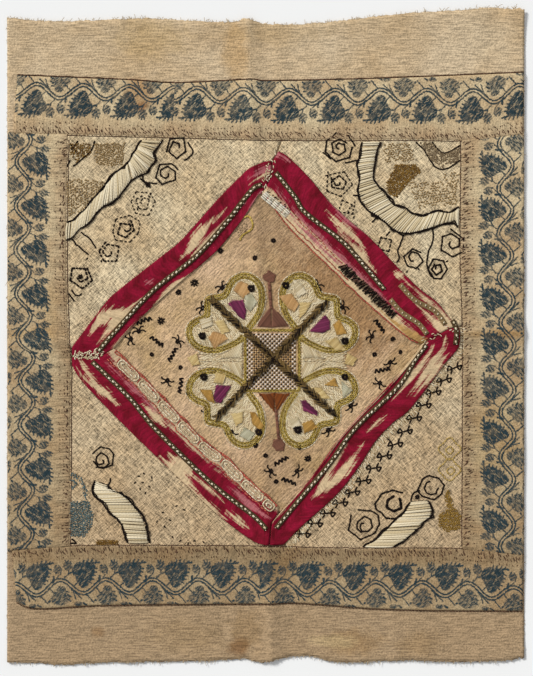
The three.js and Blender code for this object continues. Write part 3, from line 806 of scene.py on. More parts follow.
def lay_cloth(name, sides, counts, top, thickness, finish, roll=1.2, drop=0.5, by_share=False, pucker=0.0,
              ragged=0.0, closer=0.85):
    """A cloth lying over the creases, its rim rolled down, with its own thickness.

    Sides are its two long edges and, where they aren't straight, its two ends, which run from the first
    long edge to the second.
    """
    first, second, *ends = sides
    grid = bmesh.new()
    bmesh.ops.create_grid(grid, x_segments=counts[0], y_segments=counts[1], size=1)
    s, t = (np.array([vertex.co[:2] for vertex in grid.verts]).T + 1) / 2
    t = spaced_ends(t, closer)
    s2, t2 = s[:, None], t[:, None]
    place = along(first, s) * (1 - t2) + along(second, s) * t2
    if ends:
        place = place + along(ends[0], t) * (1 - s2) + along(ends[1], t) * s2
        for edge, share in ((first, 1 - t2), (second, t2)):
            place = place - edge[0] * (1 - s2) * share - edge[-1] * s2 * share
    long_way = length_of(first)
    wide_way = np.linalg.norm(along(first, s) - along(second, s), axis=1)
    to_edge = np.minimum(np.minimum(t, 1 - t) * wide_way, np.minimum(s, 1 - s) * long_way)
    if ragged:
        chance = np.random.default_rng(23)
        tear = chance.normal(0, ragged, counts[0] * 2 + 3)
        pull = np.interp(place[:, 0], np.linspace(-HALF_WIDTH, HALF_WIDTH, len(tear)), tear)
        place[:, 1] += pull * np.clip(1 - np.minimum(t, 1 - t) * wide_way / 3, 0, 1)
    height = top + lie(place[:, 0], place[:, 1])
    height = height - drop * np.clip(1 - to_edge / roll, 0, 1) ** 2
    if pucker:
        # Cloth drawn up by the hand stitches along its fold
        run, away = s * long_way, (1 - t) * wide_way
        waves = np.sin(run * 2 * math.pi / 5.3 + 2.1 * np.sin(run / 17))
        waves = waves + 0.6 * np.sin(run * 2 * math.pi / 8.9)
        height = height + pucker * waves * np.exp(-((away - 5) / 7) ** 2)
    for vertex, where, rise in zip(grid.verts, place, height):
        vertex.co = (where[0] * MM, where[1] * MM, rise * MM)
    grid.normal_update()
    if sum(face.normal.z for face in grid.faces) < 0:
        bmesh.ops.reverse_faces(grid, faces=grid.faces)
    mesh = bpy.data.meshes.new(name)
    grid.to_mesh(mesh)
    grid.free()
    if by_share:
        own = np.stack([s, t, to_edge], axis=1)
    else:
        own = np.stack([s * long_way, (1 - t) * wide_way, to_edge], axis=1)
    mesh.attributes.new("on_cloth", "FLOAT_VECTOR", "POINT").data.foreach_set("vector", own.ravel())
    mesh.shade_smooth()
    piece = shelf(name, mesh, finish)
    body = piece.modifiers.new("cloth thickness", "SOLIDIFY")
    body.thickness = thickness * MM
    body.offset = -1
    return piece


def build_ground():
    cloths = bpy.context.scene.panel_cloths
    first, second = LINES["bottom_edge"], LINES["top_edge"]
    piece = lay_cloth("linen_ground", (first, second), (210, 70), GROUND_TOP,
                      cloths.ground_thickness / MM, linen_finish(), roll=1.5, drop=0.35, ragged=0.35,
                      closer=0.6)
    ready(piece, "plain_linen", "ground_cloth")


def build_borders():
    cloths = bpy.context.scene.panel_cloths
    thick = cloths.border_thickness / MM
    tuck = INTO_BORDER
    side = {}
    for name, x, fold in (("left", -SIDE_EDGE, "left_fold"), ("right", SIDE_EDGE, "right_fold")):
        low = np.interp(x, *LINES["bottom_fold"].T) - tuck
        high = np.interp(x, *LINES["top_fold"].T) + tuck
        inner = LINES[fold]
        middle = inner[len(inner) // 2, 0]
        low_in = np.interp(middle, *LINES["bottom_fold"].T) - tuck
        high_in = np.interp(middle, *LINES["top_fold"].T) + tuck
        side[name] = (straight([(x, low), (x, high)], 3), between(inner, 1, low_in, high_in))
    level = {"top": (LINES["top_seam"], LINES["top_fold"]),
             "bottom": (LINES["bottom_seam"], LINES["bottom_fold"])}
    # Which border, where its first crest stands, how far the print is set out from the fold, how much
    # its repeat is stretched, steps along and across, gathers at the fold, where two printed lengths
    # join and how far the block slipped there
    plans = [
        ("top", level["top"], 33.1, 0.8, 1.0, (225, 25), 0.20, (122.0, 17.0)),
        ("bottom", level["bottom"], 19.5, -1.3, 1.0, (225, 25), 0.22, (203.0, -5.2)),
        ("left", side["left"], 29.3, 1.7, 0.958, (195, 25), 0.34, None),
        ("right", side["right"], 24.1, 1.9, 0.9825, (195, 25), 0.34, None),
    ]
    for name, (outer, inner), shift, rise, stretch, counts, pucker, join in plans:
        if name in ("bottom", "right"):
            outer, inner = outer[::-1], inner[::-1]
        gather = 1.0 if name in side else 0.45
        finish = print_finish(f"block-printed cotton {name}", shift, rise, stretch, gather, join)
        piece = lay_cloth(f"printed_border_{name}", (outer, inner), counts, BORDER_TOP, thick, finish,
                          roll=1.3, drop=0.8, pucker=pucker)
        ready(piece, "printed_cotton", f"border_{name}")


def build_corners():
    cloths = bpy.context.scene.panel_cloths
    tuck = INTO_BORDER
    up, down = LINES["top_fold"] + (0, tuck), LINES["bottom_fold"] - (0, tuck)
    left, right = LINES["left_fold"] - (tuck, 0), LINES["right_fold"] + (tuck, 0)
    plans = {
        "tl": (beside(LINES["tl_outer"], -UNDER_STRIP),
               np.vstack([between(left, 1, -8.5, 156), between(up, 0, -152, 12.8)])),
        "tr": (beside(LINES["tr_outer"], UNDER_STRIP),
               np.vstack([between(right, 1, 9.5, 152.3), between(up, 0, 13.2, 151.4)[::-1]])),
        "br": (beside(LINES["br_outer"], -UNDER_STRIP),
               np.vstack([between(right, 1, -165, 5.5)[::-1], between(down, 0, 14, 152)[::-1]])),
        "bl": (beside(LINES["bl_outer"], UNDER_STRIP),
               np.vstack([between(left, 1, -163, -23.5)[::-1], between(down, 0, -151, -2)])),
    }
    for name, (inner, outer) in plans.items():
        if name == "tl":
            inner = np.vstack([inner, [(7.2, 140)]])
        piece = lay_cloth(f"bias_corner_{name}", (inner, outer), (92, 44), PATCH_TOP,
                          cloths.patch_thickness / MM, bias_finish(f"cotton on the bias {name}"), drop=0.2,
                          closer=0.4)
        ready(piece, "ribbed_cloth", f"corner_{name}")


def build_centre():
    cloths = bpy.context.scene.panel_cloths
    tl, tr = beside(LINES["tl_inner"], UNDER_STRIP), beside(LINES["tr_inner"], -UNDER_STRIP)
    br, bl = beside(LINES["br_inner"], UNDER_STRIP), beside(LINES["bl_inner"], -UNDER_STRIP)
    left, top, right, bottom = [(-120, -10)], [(-2.5, 111)], [(121, -6)], [(10, -135)]
    sides = (
        np.vstack([left, tl[2:-2], top]), np.vstack([bottom, br[::-1][2:-2], right]),
        np.vstack([left, bl[2:-2], bottom]), np.vstack([top, tr[::-1][2:-2], right]),
    )
    piece = lay_cloth("linen_centre", sides, (92, 92), PATCH_TOP, cloths.patch_thickness / MM,
                      centre_finish(), drop=0.1, closer=0.0)
    ready(piece, "centre_linen", "centre_cloth")


def build_silk():
    cloths = bpy.context.scene.panel_cloths
    for name, (start, end) in STRIP_ENDS.items():
        outer, inner = LINES[f"{name}_outer"], LINES[f"{name}_inner"]
        outer = np.vstack([start[:1], outer[1:-1], end[:1]])
        inner = np.vstack([start[-1:], inner[1:-1], end[-1:]])
        sides = (outer, inner, np.array(start, float), np.array(end, float))
        piece = lay_cloth(f"silk_strip_{name}", sides, (135, 18), STRIP_TOP, cloths.patch_thickness / MM,
                          silk_finish(name), roll=1.0, drop=0.45, by_share=True)
        ready(piece, "ikat_silk", f"ikat_{name}")


def build_braids():
    cloths = bpy.context.scene.panel_cloths
    half = cloths.braid_width / MM / 2
    dark = braid_finish("dark silk braid", cloths.braid)
    tan = braid_finish("tan silk braid", cloths.braid_tan)
    for name, rows in BRAID_PATHS.items():
        middle = smooth(rows, 1.0)
        is_tan = "tan" in name
        slot = "tan_braid" if is_tan else "dotted_braid"
        sides = (beside(middle, -half), beside(middle, half))
        tape = lay_cloth(f"{name}_tape", sides, (len(middle), 8), BRAID_TOP, 1.1, tan if is_tan else dark,
                         roll=1.6, drop=0.85)
        ready(tape, slot, name)
        pitch = 3.8 if is_tan else 4.0
        count = int(length_of(middle) / pitch)
        share = (np.arange(count) + 0.5) / count
        knots, way = along(middle, share), along(heading(middle), share)
        across = left_of(way)
        chance = np.random.default_rng(len(middle))
        slip = chance.normal(0, 0.15, (count, 2))
        tilt = way * (0.45 if is_tan else 1.05) + across * 0.2
        rows = stitch_rows(knots + slip - tilt, knots + slip + tilt, 1.65, 1.1, BRAID_TOP, 0, 0.1)
        if not is_tan:
            small = knots + way * pitch / 2 + across * chance.choice([-0.7, 0.7], (count, 1))
            small_rows = stitch_rows(small - way * 0.35, small + way * 0.35, 0.7, 0.6, BRAID_TOP - 0.1, 0, 0)
            rows = np.vstack([rows, small_rows])
        sew(f"{name}_knots", rows, "cream braid knots", slot)


# Stitches


def stitch_rows(start, end, wide, high, base=PATCH_TOP, bow=0.0, arch=0.0):
    """Rows for a run of stitches: both ends, width, height, level, sideways bow and arch, mm."""
    start, end = np.asarray(start, float).reshape(-1, 2), np.asarray(end, float).reshape(-1, 2)
    rest = [np.broadcast_to(np.asarray(value, float), (len(start),))
            for value in (wide, high, base, bow, arch)]
    return np.column_stack([start, end, *rest])


def stitch_shape():
    """One stitch as a small closed capsule: share of its length, across, up, and its faces."""
    capsule = bmesh.new()
    bmesh.ops.create_uvsphere(capsule, u_segments=5, v_segments=5, radius=1)
    capsule.verts.ensure_lookup_table()
    ball = np.array([vertex.co[:] for vertex in capsule.verts])
    faces = [[vertex.index for vertex in face.verts] for face in capsule.faces]
    capsule.free()
    blunt = np.where(np.abs(ball[:, 2]) > 0.5, 1.45, 1.05)
    return np.column_stack([(ball[:, 2] + 1) / 2, ball[:, 0] * blunt, ball[:, 1] * blunt]), faces


STITCH, STITCH_FACES = stitch_shape()


def sew(name, rows, thread, slot):
    """Many stitches of one thread as one joined mesh that follows the cloths."""
    rows = np.vstack(rows)
    chance = np.random.default_rng(1 + len(rows))
    start, end = rows[:, None, 0:2], rows[:, None, 2:4]
    wide, high, base, bow, arch = (rows[:, None, k] for k in range(4, 9))
    span = end - start
    length = np.maximum(np.linalg.norm(span, axis=2, keepdims=True), 1e-6)
    way = span / length
    across = left_of(way)
    share, side, up = (STITCH[None, :, k] for k in range(3))
    curve = 4 * share * (1 - share)
    flat = start + span * share[..., None] + across * (side * wide / 2 + bow * curve)[..., None]
    level = base + high * 0.2 + arch * curve + up * high / 2 + lie(flat[..., 0], flat[..., 1])
    points = np.concatenate([flat, level[..., None]], axis=2).reshape(-1, 3) * MM
    per = len(STITCH)
    step = (np.arange(len(rows)) * per)[:, None]
    faces = [row for face in STITCH_FACES for row in (step + np.array(face)[None, :]).tolist()]
    mesh = bpy.data.meshes.new(name)
    mesh.from_pydata(points.tolist(), [], faces)
    around = np.broadcast_to(np.arctan2(side, up) / (2 * math.pi), (len(rows), per))
    run = share * length[..., 0] + chance.uniform(0, 9, (len(rows), 1))
    tone = np.broadcast_to(chance.uniform(0.1, 0.9, (len(rows), 1)), (len(rows), per))
    own = np.stack([run, around, tone], axis=2).astype(np.float32)
    mesh.attributes.new("thread", "FLOAT_VECTOR", "POINT").data.foreach_set("vector", own.ravel())
    mesh.shade_smooth()
    ready(shelf(name, mesh, thread_finish(thread)), slot)


def run_stitch(line, length, wide=0.9, high=0.7, base=PATCH_TOP, gap=0.06, wander=0.12, seed=3):
    """Back stitch along a line, end to end."""
    count = max(1, round(length_of(line) / length))
    points = along(line, np.linspace(0, 1, count + 1))
    points[1:-1] += np.random.default_rng(seed + count).normal(0, wander, (max(0, count - 1), 2))
    span = np.diff(points, axis=0)
    return stitch_rows(points[:-1] + span * gap, points[1:] - span * gap, wide, high, base)


def chain_stitch(line, link, wide, thread=0.95):
    """Chain stitch: links whose two threads bow apart."""
    count = max(1, round(length_of(line) / link))
    points = along(line, np.linspace(0, 1, count + 1))
    span = np.diff(points, axis=0)
    start, end = points[:-1] - span * 0.08, points[1:] + span * 0.08
    bow = (wide - thread) / 2
    return np.vstack([stitch_rows(start, end, thread, 1.1, PATCH_TOP, side * bow, 0.25) for side in (-1, 1)])


def satin_between(first, second, pitch, wide=1.4, high=1.2, slant=0.0, arch=0.35):
    """Satin stitch from one line to another; where it slants, it slants most at its middle."""
    chance = np.random.default_rng(4)
    mean = (length_of(first) + length_of(second)) / 2
    count = max(2, int(mean / pitch))
    share = np.clip((np.arange(count) + 0.5) / count + chance.normal(0, 0.14 / count, count), 0, 1)
    lean = slant * np.sin(math.pi * share)
    start, end = along(first, share - lean), along(second, share + lean)
    wide = wide * chance.uniform(0.8, 1.25, count)
    bow = chance.normal(0, 0.25, count)
    return stitch_rows(start, end, wide, high, PATCH_TOP, bow, arch * chance.uniform(0.6, 1.3, count))


def satin_fill(outline, angle, pitch=0.95, wide=1.1, high=1.0, base=PATCH_TOP):
    """Satin stitch across a rounded outline, all threads at one angle in degrees."""
    ahead, aside = facing(angle)
    ring = np.asarray(outline, float)
    far, off = ring @ ahead, ring @ aside
    starts, ends = [], []
    for level in np.arange(off.min() + pitch / 2, off.max(), pitch):
        crossing = []
        for k in range(len(ring)):
            a, b = off[k], off[(k + 1) % len(ring)]
            if (a > level) != (b > level):
                share = (level - a) / (b - a)
                crossing.append(far[k] + share * (far[(k + 1) % len(ring)] - far[k]))
        if len(crossing) >= 2 and max(crossing) - min(crossing) > 0.5:
            starts.append(ahead * min(crossing) + aside * level)
            ends.append(ahead * max(crossing) + aside * level)
    return stitch_rows(starts, ends, wide, high, base, 0, 0.3)


def inside(points, outline):
    """Which points lie inside an outline."""
    x, y = points[:, :1], points[:, 1:]
    a = np.asarray(outline, float)
    b = np.roll(a, -1, axis=0)
    level = (a[:, 1] > y) != (b[:, 1] > y)
    reach = (b[:, 0] - a[:, 0]) * (y - a[:, 1]) / np.where(b[:, 1] == a[:, 1], 1e-9,
                                                           b[:, 1] - a[:, 1]) + a[:, 0]
    return np.sum(level & (x < reach), axis=1) % 2 == 1


def seed_fill(outline, angle=0, step=2.4, row=1.5, length=1.5, wide=0.8, keep=1.0, base=PATCH_TOP, seed=6,
              wander=0.15, high=0.6, turning=0.0):
    """Short stitches in bricked rows inside an outline."""
    chance = np.random.default_rng(seed)
    ahead, aside = facing(angle)
    ring = np.asarray(outline, float)
    far, off = ring @ ahead, ring @ aside
    places = []
    for k, level in enumerate(np.arange(off.min() + row / 2, off.max(), row)):
        for run in np.arange(far.min() + (k % 2) * step / 2, far.max(), step):
            places.append(ahead * run + aside * level)
    places = np.array(places)
    places = places[inside(places, ring)]
    places = places[chance.random(len(places)) < keep]
    places += chance.normal(0, wander, places.shape)
    lean = chance.normal(0, max(turning, 1e-3), len(places)) + math.radians(angle)
    half = np.stack([np.cos(lean), np.sin(lean)], axis=1) * length / 2
    return stitch_rows(places - half, places + half, wide, high, base)


def overcast(line, pitch=2.2, length=2.0, lean=60, wide=0.5, high=0.4, base=BORDER_TOP, keep=1.0, shift=0.0,
             wander=0.25, seed=8):
    """Slanting stitches set along a line."""
    chance = np.random.default_rng(seed)
    count = max(2, int(length_of(line) / pitch))
    share = (np.arange(count) + 0.5) / count
    middle, way = along(line, share), along(heading(line), share)
    aside = left_of(way)
    lean = np.radians(lean + chance.normal(0, 14, (count, 1)))
    reach = length * chance.uniform(0.6, 1.25, (count, 1)) / 2
    tilt = (way * np.cos(lean) + aside * np.sin(lean)) * reach
    middle = middle + aside * (shift + chance.normal(0, wander, (count, 1)))
    middle = middle + way * chance.normal(0, 0.5, (count, 1))
    kept = chance.random(count) < keep
    return stitch_rows((middle - tilt)[kept], (middle + tilt)[kept], wide, high, base)


def dot_stitch(centre, radius, count, wide, base=PATCH_TOP, seed=2):
    """A round knot of stitches worked from its rim to its middle."""
    chance = np.random.default_rng(seed)
    angle = np.arange(count) * 2 * math.pi / count + chance.uniform(0, 1)
    reach = radius * chance.uniform(0.82, 1.12, count)
    rim = np.stack([np.cos(angle), np.sin(angle)], axis=1) * reach[:, None]
    return stitch_rows(np.array(centre) + rim * 0.12, np.array(centre) + rim, wide, 0.9, base, 0, 0.2)


def spiral(centre, radius, turns, start, sides, hand, seed):
    """An angular, slightly uneven spiral: a wide first round, then inwards; one round alone stays a ring."""
    chance = np.random.default_rng(seed)
    steps = max(3, round(turns * sides))
    past = np.arange(steps + 1) / sides
    angle = math.radians(start) + hand * past * 2 * math.pi
    drawn_in = np.clip((past - 0.75) / max(turns - 0.75, 0.3), 0, 1) if turns > 1 else np.zeros(steps + 1)
    reach = radius * (1 - 0.8 * drawn_in) * chance.uniform(0.9, 1.1, steps + 1)
    angle = angle + chance.normal(0, 0.1, steps + 1)
    return np.stack([centre[0] + reach * np.cos(angle), centre[1] + reach * np.sin(angle)], axis=1)


def fishbone(start, end, seed=5):
    """A bar of long slanting strands that cross on its middle line, frayed at both ends."""
    half, pitch, base = 2.9, 1.35, PATCH_TOP + 0.8
    chance = np.random.default_rng(seed)
    way = (end - start) / np.linalg.norm(end - start)
    aside = left_of(way)
    count = int(np.linalg.norm(end - start) / pitch)
    rows = []
    for side in (-1, 1):
        run = start + way * ((np.arange(count)[:, None] + 0.25 + side * 0.25) * pitch)
        run = run + chance.normal(0, 0.35, run.shape)
        spread = half * chance.uniform(0.7, 1.15, (count, 1))
        rim = run + aside * side * spread - way * spread * 1.5
        wide = chance.uniform(1.0, 1.5, count)
        level = base + chance.uniform(-0.3, 0.3, count)
        rows.append(stitch_rows(run - aside * side * 0.8 + way, rim, wide, 1.2, level, 0, 0.3))
    return np.vstack(rows)


# Corner embroidery

# Wide satin ribbons of two corners and leaves of the other two: both outlines and the stitches' slant
RIBBONS = [
    (
        [(-153.5, 88), (-147.5, 90.5), (-143.5, 95), (-137, 101.5), (-134, 106), (-128, 112), (-124, 116),
         (-120, 122), (-114, 128.5), (-108.5, 131.5), (-105, 137.5), (-100, 145.5), (-96, 151.5)],
        [(-154, 74), (-149.5, 76), (-143.5, 82), (-137, 86.5), (-132, 93.5), (-125, 100), (-118, 103.5),
         (-112.5, 108.5), (-107, 115.5), (-103.5, 120), (-97, 124), (-91.5, 127), (-88, 131.5), (-84.5, 136),
         (-86.5, 141.5), (-83, 146), (-79.5, 151.5)],
        -0.09,
    ),
    (
        [(74.5, 150), (73, 140), (70.5, 132), (72, 122), (71, 113), (73, 105), (77.5, 100), (81.5, 95),
         (86.5, 92), (93, 86.5), (99, 81.5), (105, 79), (113, 79.5), (123, 82), (132, 85), (135.5, 86.5),
         (146, 88), (148.5, 84)],
        [(89, 150), (86.5, 144), (85, 136), (83.5, 128.5), (84.5, 120.5), (88, 115.5), (94.5, 107.5),
         (100, 101.5), (107.5, 98.5), (115, 94.5), (121.5, 93), (132, 96.5), (142, 96), (149, 100)],
        0.02,
    ),
    (
        [(-132, -111.5), (-133.5, -120), (-128, -126.5), (-123.5, -131), (-120, -136.5), (-114, -142),
         (-110, -149.5), (-106.5, -159.5)],
        [(-122, -115), (-120, -118.5), (-114, -120), (-108, -123.5), (-101, -131), (-96.5, -136.5),
         (-92.5, -145.5), (-89.5, -159.5)],
        0.03,
    ),
    (
        [(75, -162.5), (82, -158), (86.5, -155), (92, -149.5), (97.5, -144), (106, -136.5), (111.5, -128)],
        [(99, -162.5), (107.5, -157.5), (117.5, -149.5), (122, -143.5), (127.5, -140.5), (129, -132.5),
         (125.5, -127)],
        0.03,
    ),
]

# Angular spirals: x, y, radius, turns, start in degrees, sides, hand, thread width, gap between stitches
SPIRALS = [
    (-69, 146, 8.5, 1.7, 200, 5, -1, 1.25, -0.05), (-77, 125.5, 9.0, 2.0, 20, 6, 1, 1.2, -0.05),
    (-95, 103, 9.5, 1.0, 60, 6, 1, 0.95, 0.22), (-95, 103, 5.5, 1.4, 90, 5, 1, 0.95, 0.16),
    (-108, 83, 11.0, 1.0, 30, 7, -1, 0.95, 0.16), (-108, 83, 7.0, 1.5, 60, 5, -1, 1.3, 0.04),
    (-121, 65, 8.5, 1.8, 100, 5, 1, 1.25, 0.12), (-143, 46, 9.0, 1.7, 60, 5, -1, 1.4, 0.04),
    (56.5, 146, 11.3, 1.0, 0, 7, 1, 1.3, -0.05), (56.5, 146, 6.4, 1.6, 30, 6, 1, 1.2, -0.05),
    (56, 119, 10.5, 1.0, 140, 5, 1, 1.0, 0.14), (56, 119, 6.0, 1.6, 150, 5, 1, 1.2, 0.04),
    (63, 100, 7.5, 1.3, 30, 4, -1, 1.0, 0.16), (92, 71, 6.5, 1.0, 120, 4, -1, 1.05, 0.06),
    (114, 60, 7.6, 1.7, 40, 6, 1, 1.2, -0.05), (132.5, 52, 7.6, 1.0, 0, 6, 1, 1.2, -0.05),
    (132.5, 52, 4.4, 1.3, 120, 5, 1, 1.4, -0.05), (144, 72, 10.0, 1.8, 90, 6, -1, 1.25, -0.05),
    (-126, -94, 8.5, 0.8, 150, 8, -1, 1.05, -0.05), (-127, -96, 5.8, 1.6, 190, 7, 1, 1.2, -0.05),
    (75.5, -145, 12.0, 0.9, 150, 9, 1, 1.2, -0.05), (76, -146, 6.4, 1.5, 250, 7, -1, 1.15, -0.05),
    (97, -129.5, 11.5, 0.8, 50, 9, 1, 1.3, -0.05), (99, -129.5, 6.0, 0.9, 90, 6, 1, 2.0, -0.05),
    (127.5, -117, 9.8, 1.0, 100, 8, -1, 1.25, -0.05), (128, -117, 5.6, 0.8, 90, 8, 1, 1.15, -0.05),
]

# Black lines of the corners
CORNER_LINES = [
    [(-132, 151), (-134, 144.5), (-139.5, 139), (-143.5, 135.5), (-149, 131.5)], [(-145, 151), (-150, 144)],
    [(-151, 149), (-146, 142)], [(-153.5, 131), (-151, 136)], [(-95, 124), (-93, 119), (-84, 118)],
    [(-97, 122), (-89, 115)], [(-142.5, 80.5), (-136, 75), (-131, 68)],
    [(-149.5, 75), (-143, 68), (-137, 63)], [(-60, 150), (-56, 141), (-63, 136)],
    [(-150, 36), (-146, 31), (-142, 33)], [(-152, 33), (-148, 27)], [(61, 134), (71, 136)],
    [(67.5, 109), (74, 109)], [(82, 88), (86, 92)], [(93, 77.5), (96, 81)],
    [(106, 78), (104, 71), (101.5, 66.5), (103, 61), (101, 57)],
    [(129, 83.5), (129, 74.5), (125.5, 65), (124.5, 55), (128, 46)], [(50, 137), (44, 142)],
    [(116, 150), (122, 144), (127, 136), (131.5, 130.5), (137, 129), (144, 131.5), (150, 136)],
    [(128.5, 150), (132, 145.5), (137, 141.5), (144, 144), (150, 147.5)],
    [(-132, -111.5), (-122, -115), (-120, -109.5)], [(-150, -156.5), (-146, -159.5), (-151, -160)],
    [(94, -79), (97, -82)], [(111.5, -128), (125.5, -127)], [(112, -127), (114, -121), (119, -119)],
]

# Small scattered bits of black work: x, y
CORNER_BITS = [
    (-98, -108), (-94, -106), (-88, -109), (-101, -113), (-95, -113), (-90, -116), (-97, -118), (-93, -121),
    (-79.5, -136), (-74, -142), (-78, -147), (-84, -143), (-69, -131), (-63, -134), (-72, -155), (-60, -160),
    (-66, -158), (-55, -158), (-48, -159), (-127, 58), (-138, 60), (-103, 128), (-90, 108), (-99, 98),
    (68, 92), (60, 88), (64, 96), (118, 52), (109, 50), (140, 58), (52, 100), (47, 104),
]
CORNER_KNOTS = [(-91, 117), (71.5, 135), (74.5, 109), (83, 94), (86, 92), (-143, 46), (117, -124)]

# Line of the key border, its pitch, and the stitches of one step: from along, up, to along, up
KEY_PATH = [
    (149, -19), (144.5, -26), (129, -44), (116, -61), (101.5, -81.5), (86.5, -98), (71, -116.5), (53.5, -132),
    (38, -144.5), (24, -156.5),
]
KEY_PITCH = 12.2
KEY_MARKS = [
    (-5.9, 0.0, -1.6, 1.1), (-1.6, 1.1, 1.6, -1.1), (1.6, -1.1, 5.9, 0.0),
    (-1.6, 1.1, -4.9, 4.0), (-4.9, 4.0, -0.3, 4.7), (-0.3, 4.7, -1.6, 1.1),
    (1.6, -1.1, 0.3, -4.7), (0.3, -4.7, 4.9, -4.0), (4.9, -4.0, 1.6, -1.1),
]

# Seeded patches: piece, thread, then outline, angle in degrees, step, row height and share of stitches kept
SEEDED = {
    "seed_brown": ("brown silk thread", [
        ([(100.5, 133), (115, 133), (120, 127), (112, 120.5), (106.5, 113), (102, 107), (94.5, 110),
          (93, 117.5), (97.5, 127)], 0, 2.0, 1.15, 1.0),
        ([(-151, 149), (-136, 149), (-134, 142), (-146, 134), (-151, 140)], 40, 2.3, 1.4, 0.85),
        ([(-130.5, -157), (-114, -157), (-114, -161), (-130.5, -161)], 0, 2.0, 1.0, 1.0),
    ]),
    "seed_tan": ("tan silk thread", [
        ([(-133, 149), (-109, 149), (-110, 131), (-131, 133)], 20, 2.4, 1.6, 0.95),
        ([(-153, 122), (-124, 120), (-126, 108), (-140, 96), (-153, 92)], 35, 2.6, 1.9, 0.8),
        ([(110, 119), (148, 119), (148, 102), (118, 99)], 10, 2.6, 2.0, 0.75),
        ([(90, 149), (112, 149), (114, 136), (91, 134)], 10, 2.6, 1.8, 0.8),
        ([(136, 128), (150, 128), (150, 118), (138, 120)], 10, 3.0, 2.2, 0.5),
    ]),
    "seed_grey": ("faded grey thread", [
        ([(118, 150), (129, 150), (137, 141), (150, 146), (150, 136), (137, 130), (127, 136)], 30, 2.2, 1.4,
         0.85),
        ([(-152, 120), (-130, 118), (-134, 104), (-150, 98)], 60, 3.4, 2.4, 0.5),
    ]),
    "seed_teal": ("teal silk thread", [
        ([(-151, -128), (-137, -127), (-133, -138), (-134, -147), (-141, -155), (-151, -154)], 25, 2.1, 1.5,
         1.0),
        ([(-150.5, -104), (-141, -110), (-138, -119), (-138, -128), (-140, -128), (-141, -119), (-144, -112),
          (-150.5, -107)], 60, 2.3, 1.4, 0.9),
        ([(-150.5, -109), (-145, -114), (-150, -119), (-150.5, -117), (-147, -114), (-150.5, -111)], 45, 1.9,
         1.2, 1.0),
    ]),
    "seed_ochre": ("ochre silk thread", [
        ([(134, -138), (140, -134), (148, -134), (151, -140), (150, -149), (140, -151), (134, -147)], 0, 2.0,
         1.3, 1.0),
        ([(141, -134), (138, -124), (140, -117), (143, -124), (146, -134)], 70, 2.0, 1.2, 0.9),
    ]),
}


def sew_ribbons(lead):
    """Satin ribbons and leaves with a black outline that is worked twice."""
    satin, outline = [], []
    for upper, lower, slant in RIBBONS:
        upper, lower = smooth(upper, 0.8), smooth(lower, 0.8)
        satin.append(satin_between(upper, lower, 1.45, 1.5, 1.4, slant=slant, arch=0.5))
        for line in (upper, lower):
            outline.append(run_stitch(line, 4.2, lead * 1.3, 1.1, PATCH_TOP + 0.3, gap=-0.08, wander=0.6))
            outline.append(run_stitch(line, 3.1, lead * 0.95, 1.1, PATCH_TOP + 0.5, gap=-0.05, wander=0.65))
    sew("satin_ribbons", satin, "cream satin floss", "ribbed_cloth")
    sew("ribbon_outlines", outline, "black silk thread", "ribbed_cloth")


def sew_corner_lines(lead):
    """Black spirals, stems, small bits and knots of the corners."""
    lines = [run_stitch(smooth(rows, 0.8), 2.6, lead * 1.15, 0.9, gap=-0.1, wander=0.25, seed=k)
             for k, rows in enumerate(CORNER_LINES)]
    for x, y, radius, turns, start, count, hand, wide, gap in SPIRALS:
        path = spiral((x, y), radius, turns, start, count, hand, int(x * 3 + 600))
        for a, b in zip(path[:-1], path[1:]):
            run = np.array([a - (b - a) * 0.07, b + (b - a) * 0.07])
            lines.append(run_stitch(run, 3.1, lead * wide, 0.9, gap=gap, wander=0.25,
                                    seed=int(abs(a[0] * 7))))
    bits = np.array(CORNER_BITS, float)
    turn = np.arange(len(bits)) * 2.4
    reach = np.stack([np.cos(turn), np.sin(turn)], axis=1) * 1.1
    lines.append(stitch_rows(bits - reach, bits + reach, lead, 0.7))
    lines += [dot_stitch(knot, 2.2, 7, 1.2, PATCH_TOP + 0.2) for knot in CORNER_KNOTS]
    sew("corner_lines", lines, "black silk thread", "ribbed_cloth")


def sew_margin():
    """Close cream stitches on the corner cloth beside the silk, with brown ticks among them."""
    edge = LINES["br_outer"]
    close = [overcast(edge, 1.5, 3.6, 80, 0.8, 0.6, PATCH_TOP, shift=s, wander=0.4, seed=k)
             for k, s in enumerate((1.6, 4.4))]
    sew("cream_margin", close, "cream satin floss", "ribbed_cloth")
    ticks = [overcast(edge, 2.4, 2.2, 84, 0.5, 0.7, PATCH_TOP + 0.2, 0.7, s, wander=0.5, seed=k + 20)
             for k, s in enumerate((0.8, 5.4))]
    sew("margin_ticks", ticks, "brown silk thread", "ribbed_cloth")


def build_corner_work():
    lead = bpy.context.scene.panel_threads.outline / MM
    sew_ribbons(lead)
    sew_corner_lines(lead)
    sew("key_border", key_border(lead), "black silk thread", "ribbed_cloth")
    for name, (thread, patches) in SEEDED.items():
        rows = []
        for k, (ring, angle, step, row, share) in enumerate(patches):
            rows.append(seed_fill(ring, angle, step * 0.8, row * 0.9, 1.9, 1.0, share, seed=k + len(name),
                                  high=0.9, turning=0.7))
        sew(name, rows, thread, "ribbed_cloth")
    turn = np.linspace(0, 2 * math.pi, 40)
    rings = []
    for x, y, size in ((142, -87, 7.6), (142, -103, 7.6), (142, -88, 2.8), (143, -104, 3.0)):
        reach = size * (1 + 0.16 * np.cos(4 * turn))
        ring = np.stack([x + reach * np.cos(turn), y + reach * np.sin(turn)], axis=1)
        rings.append(run_stitch(ring, 2.4, 1.5, 0.8))
    sew("ochre_lines", rings, "pale ochre thread", "ribbed_cloth")
    sew_margin()


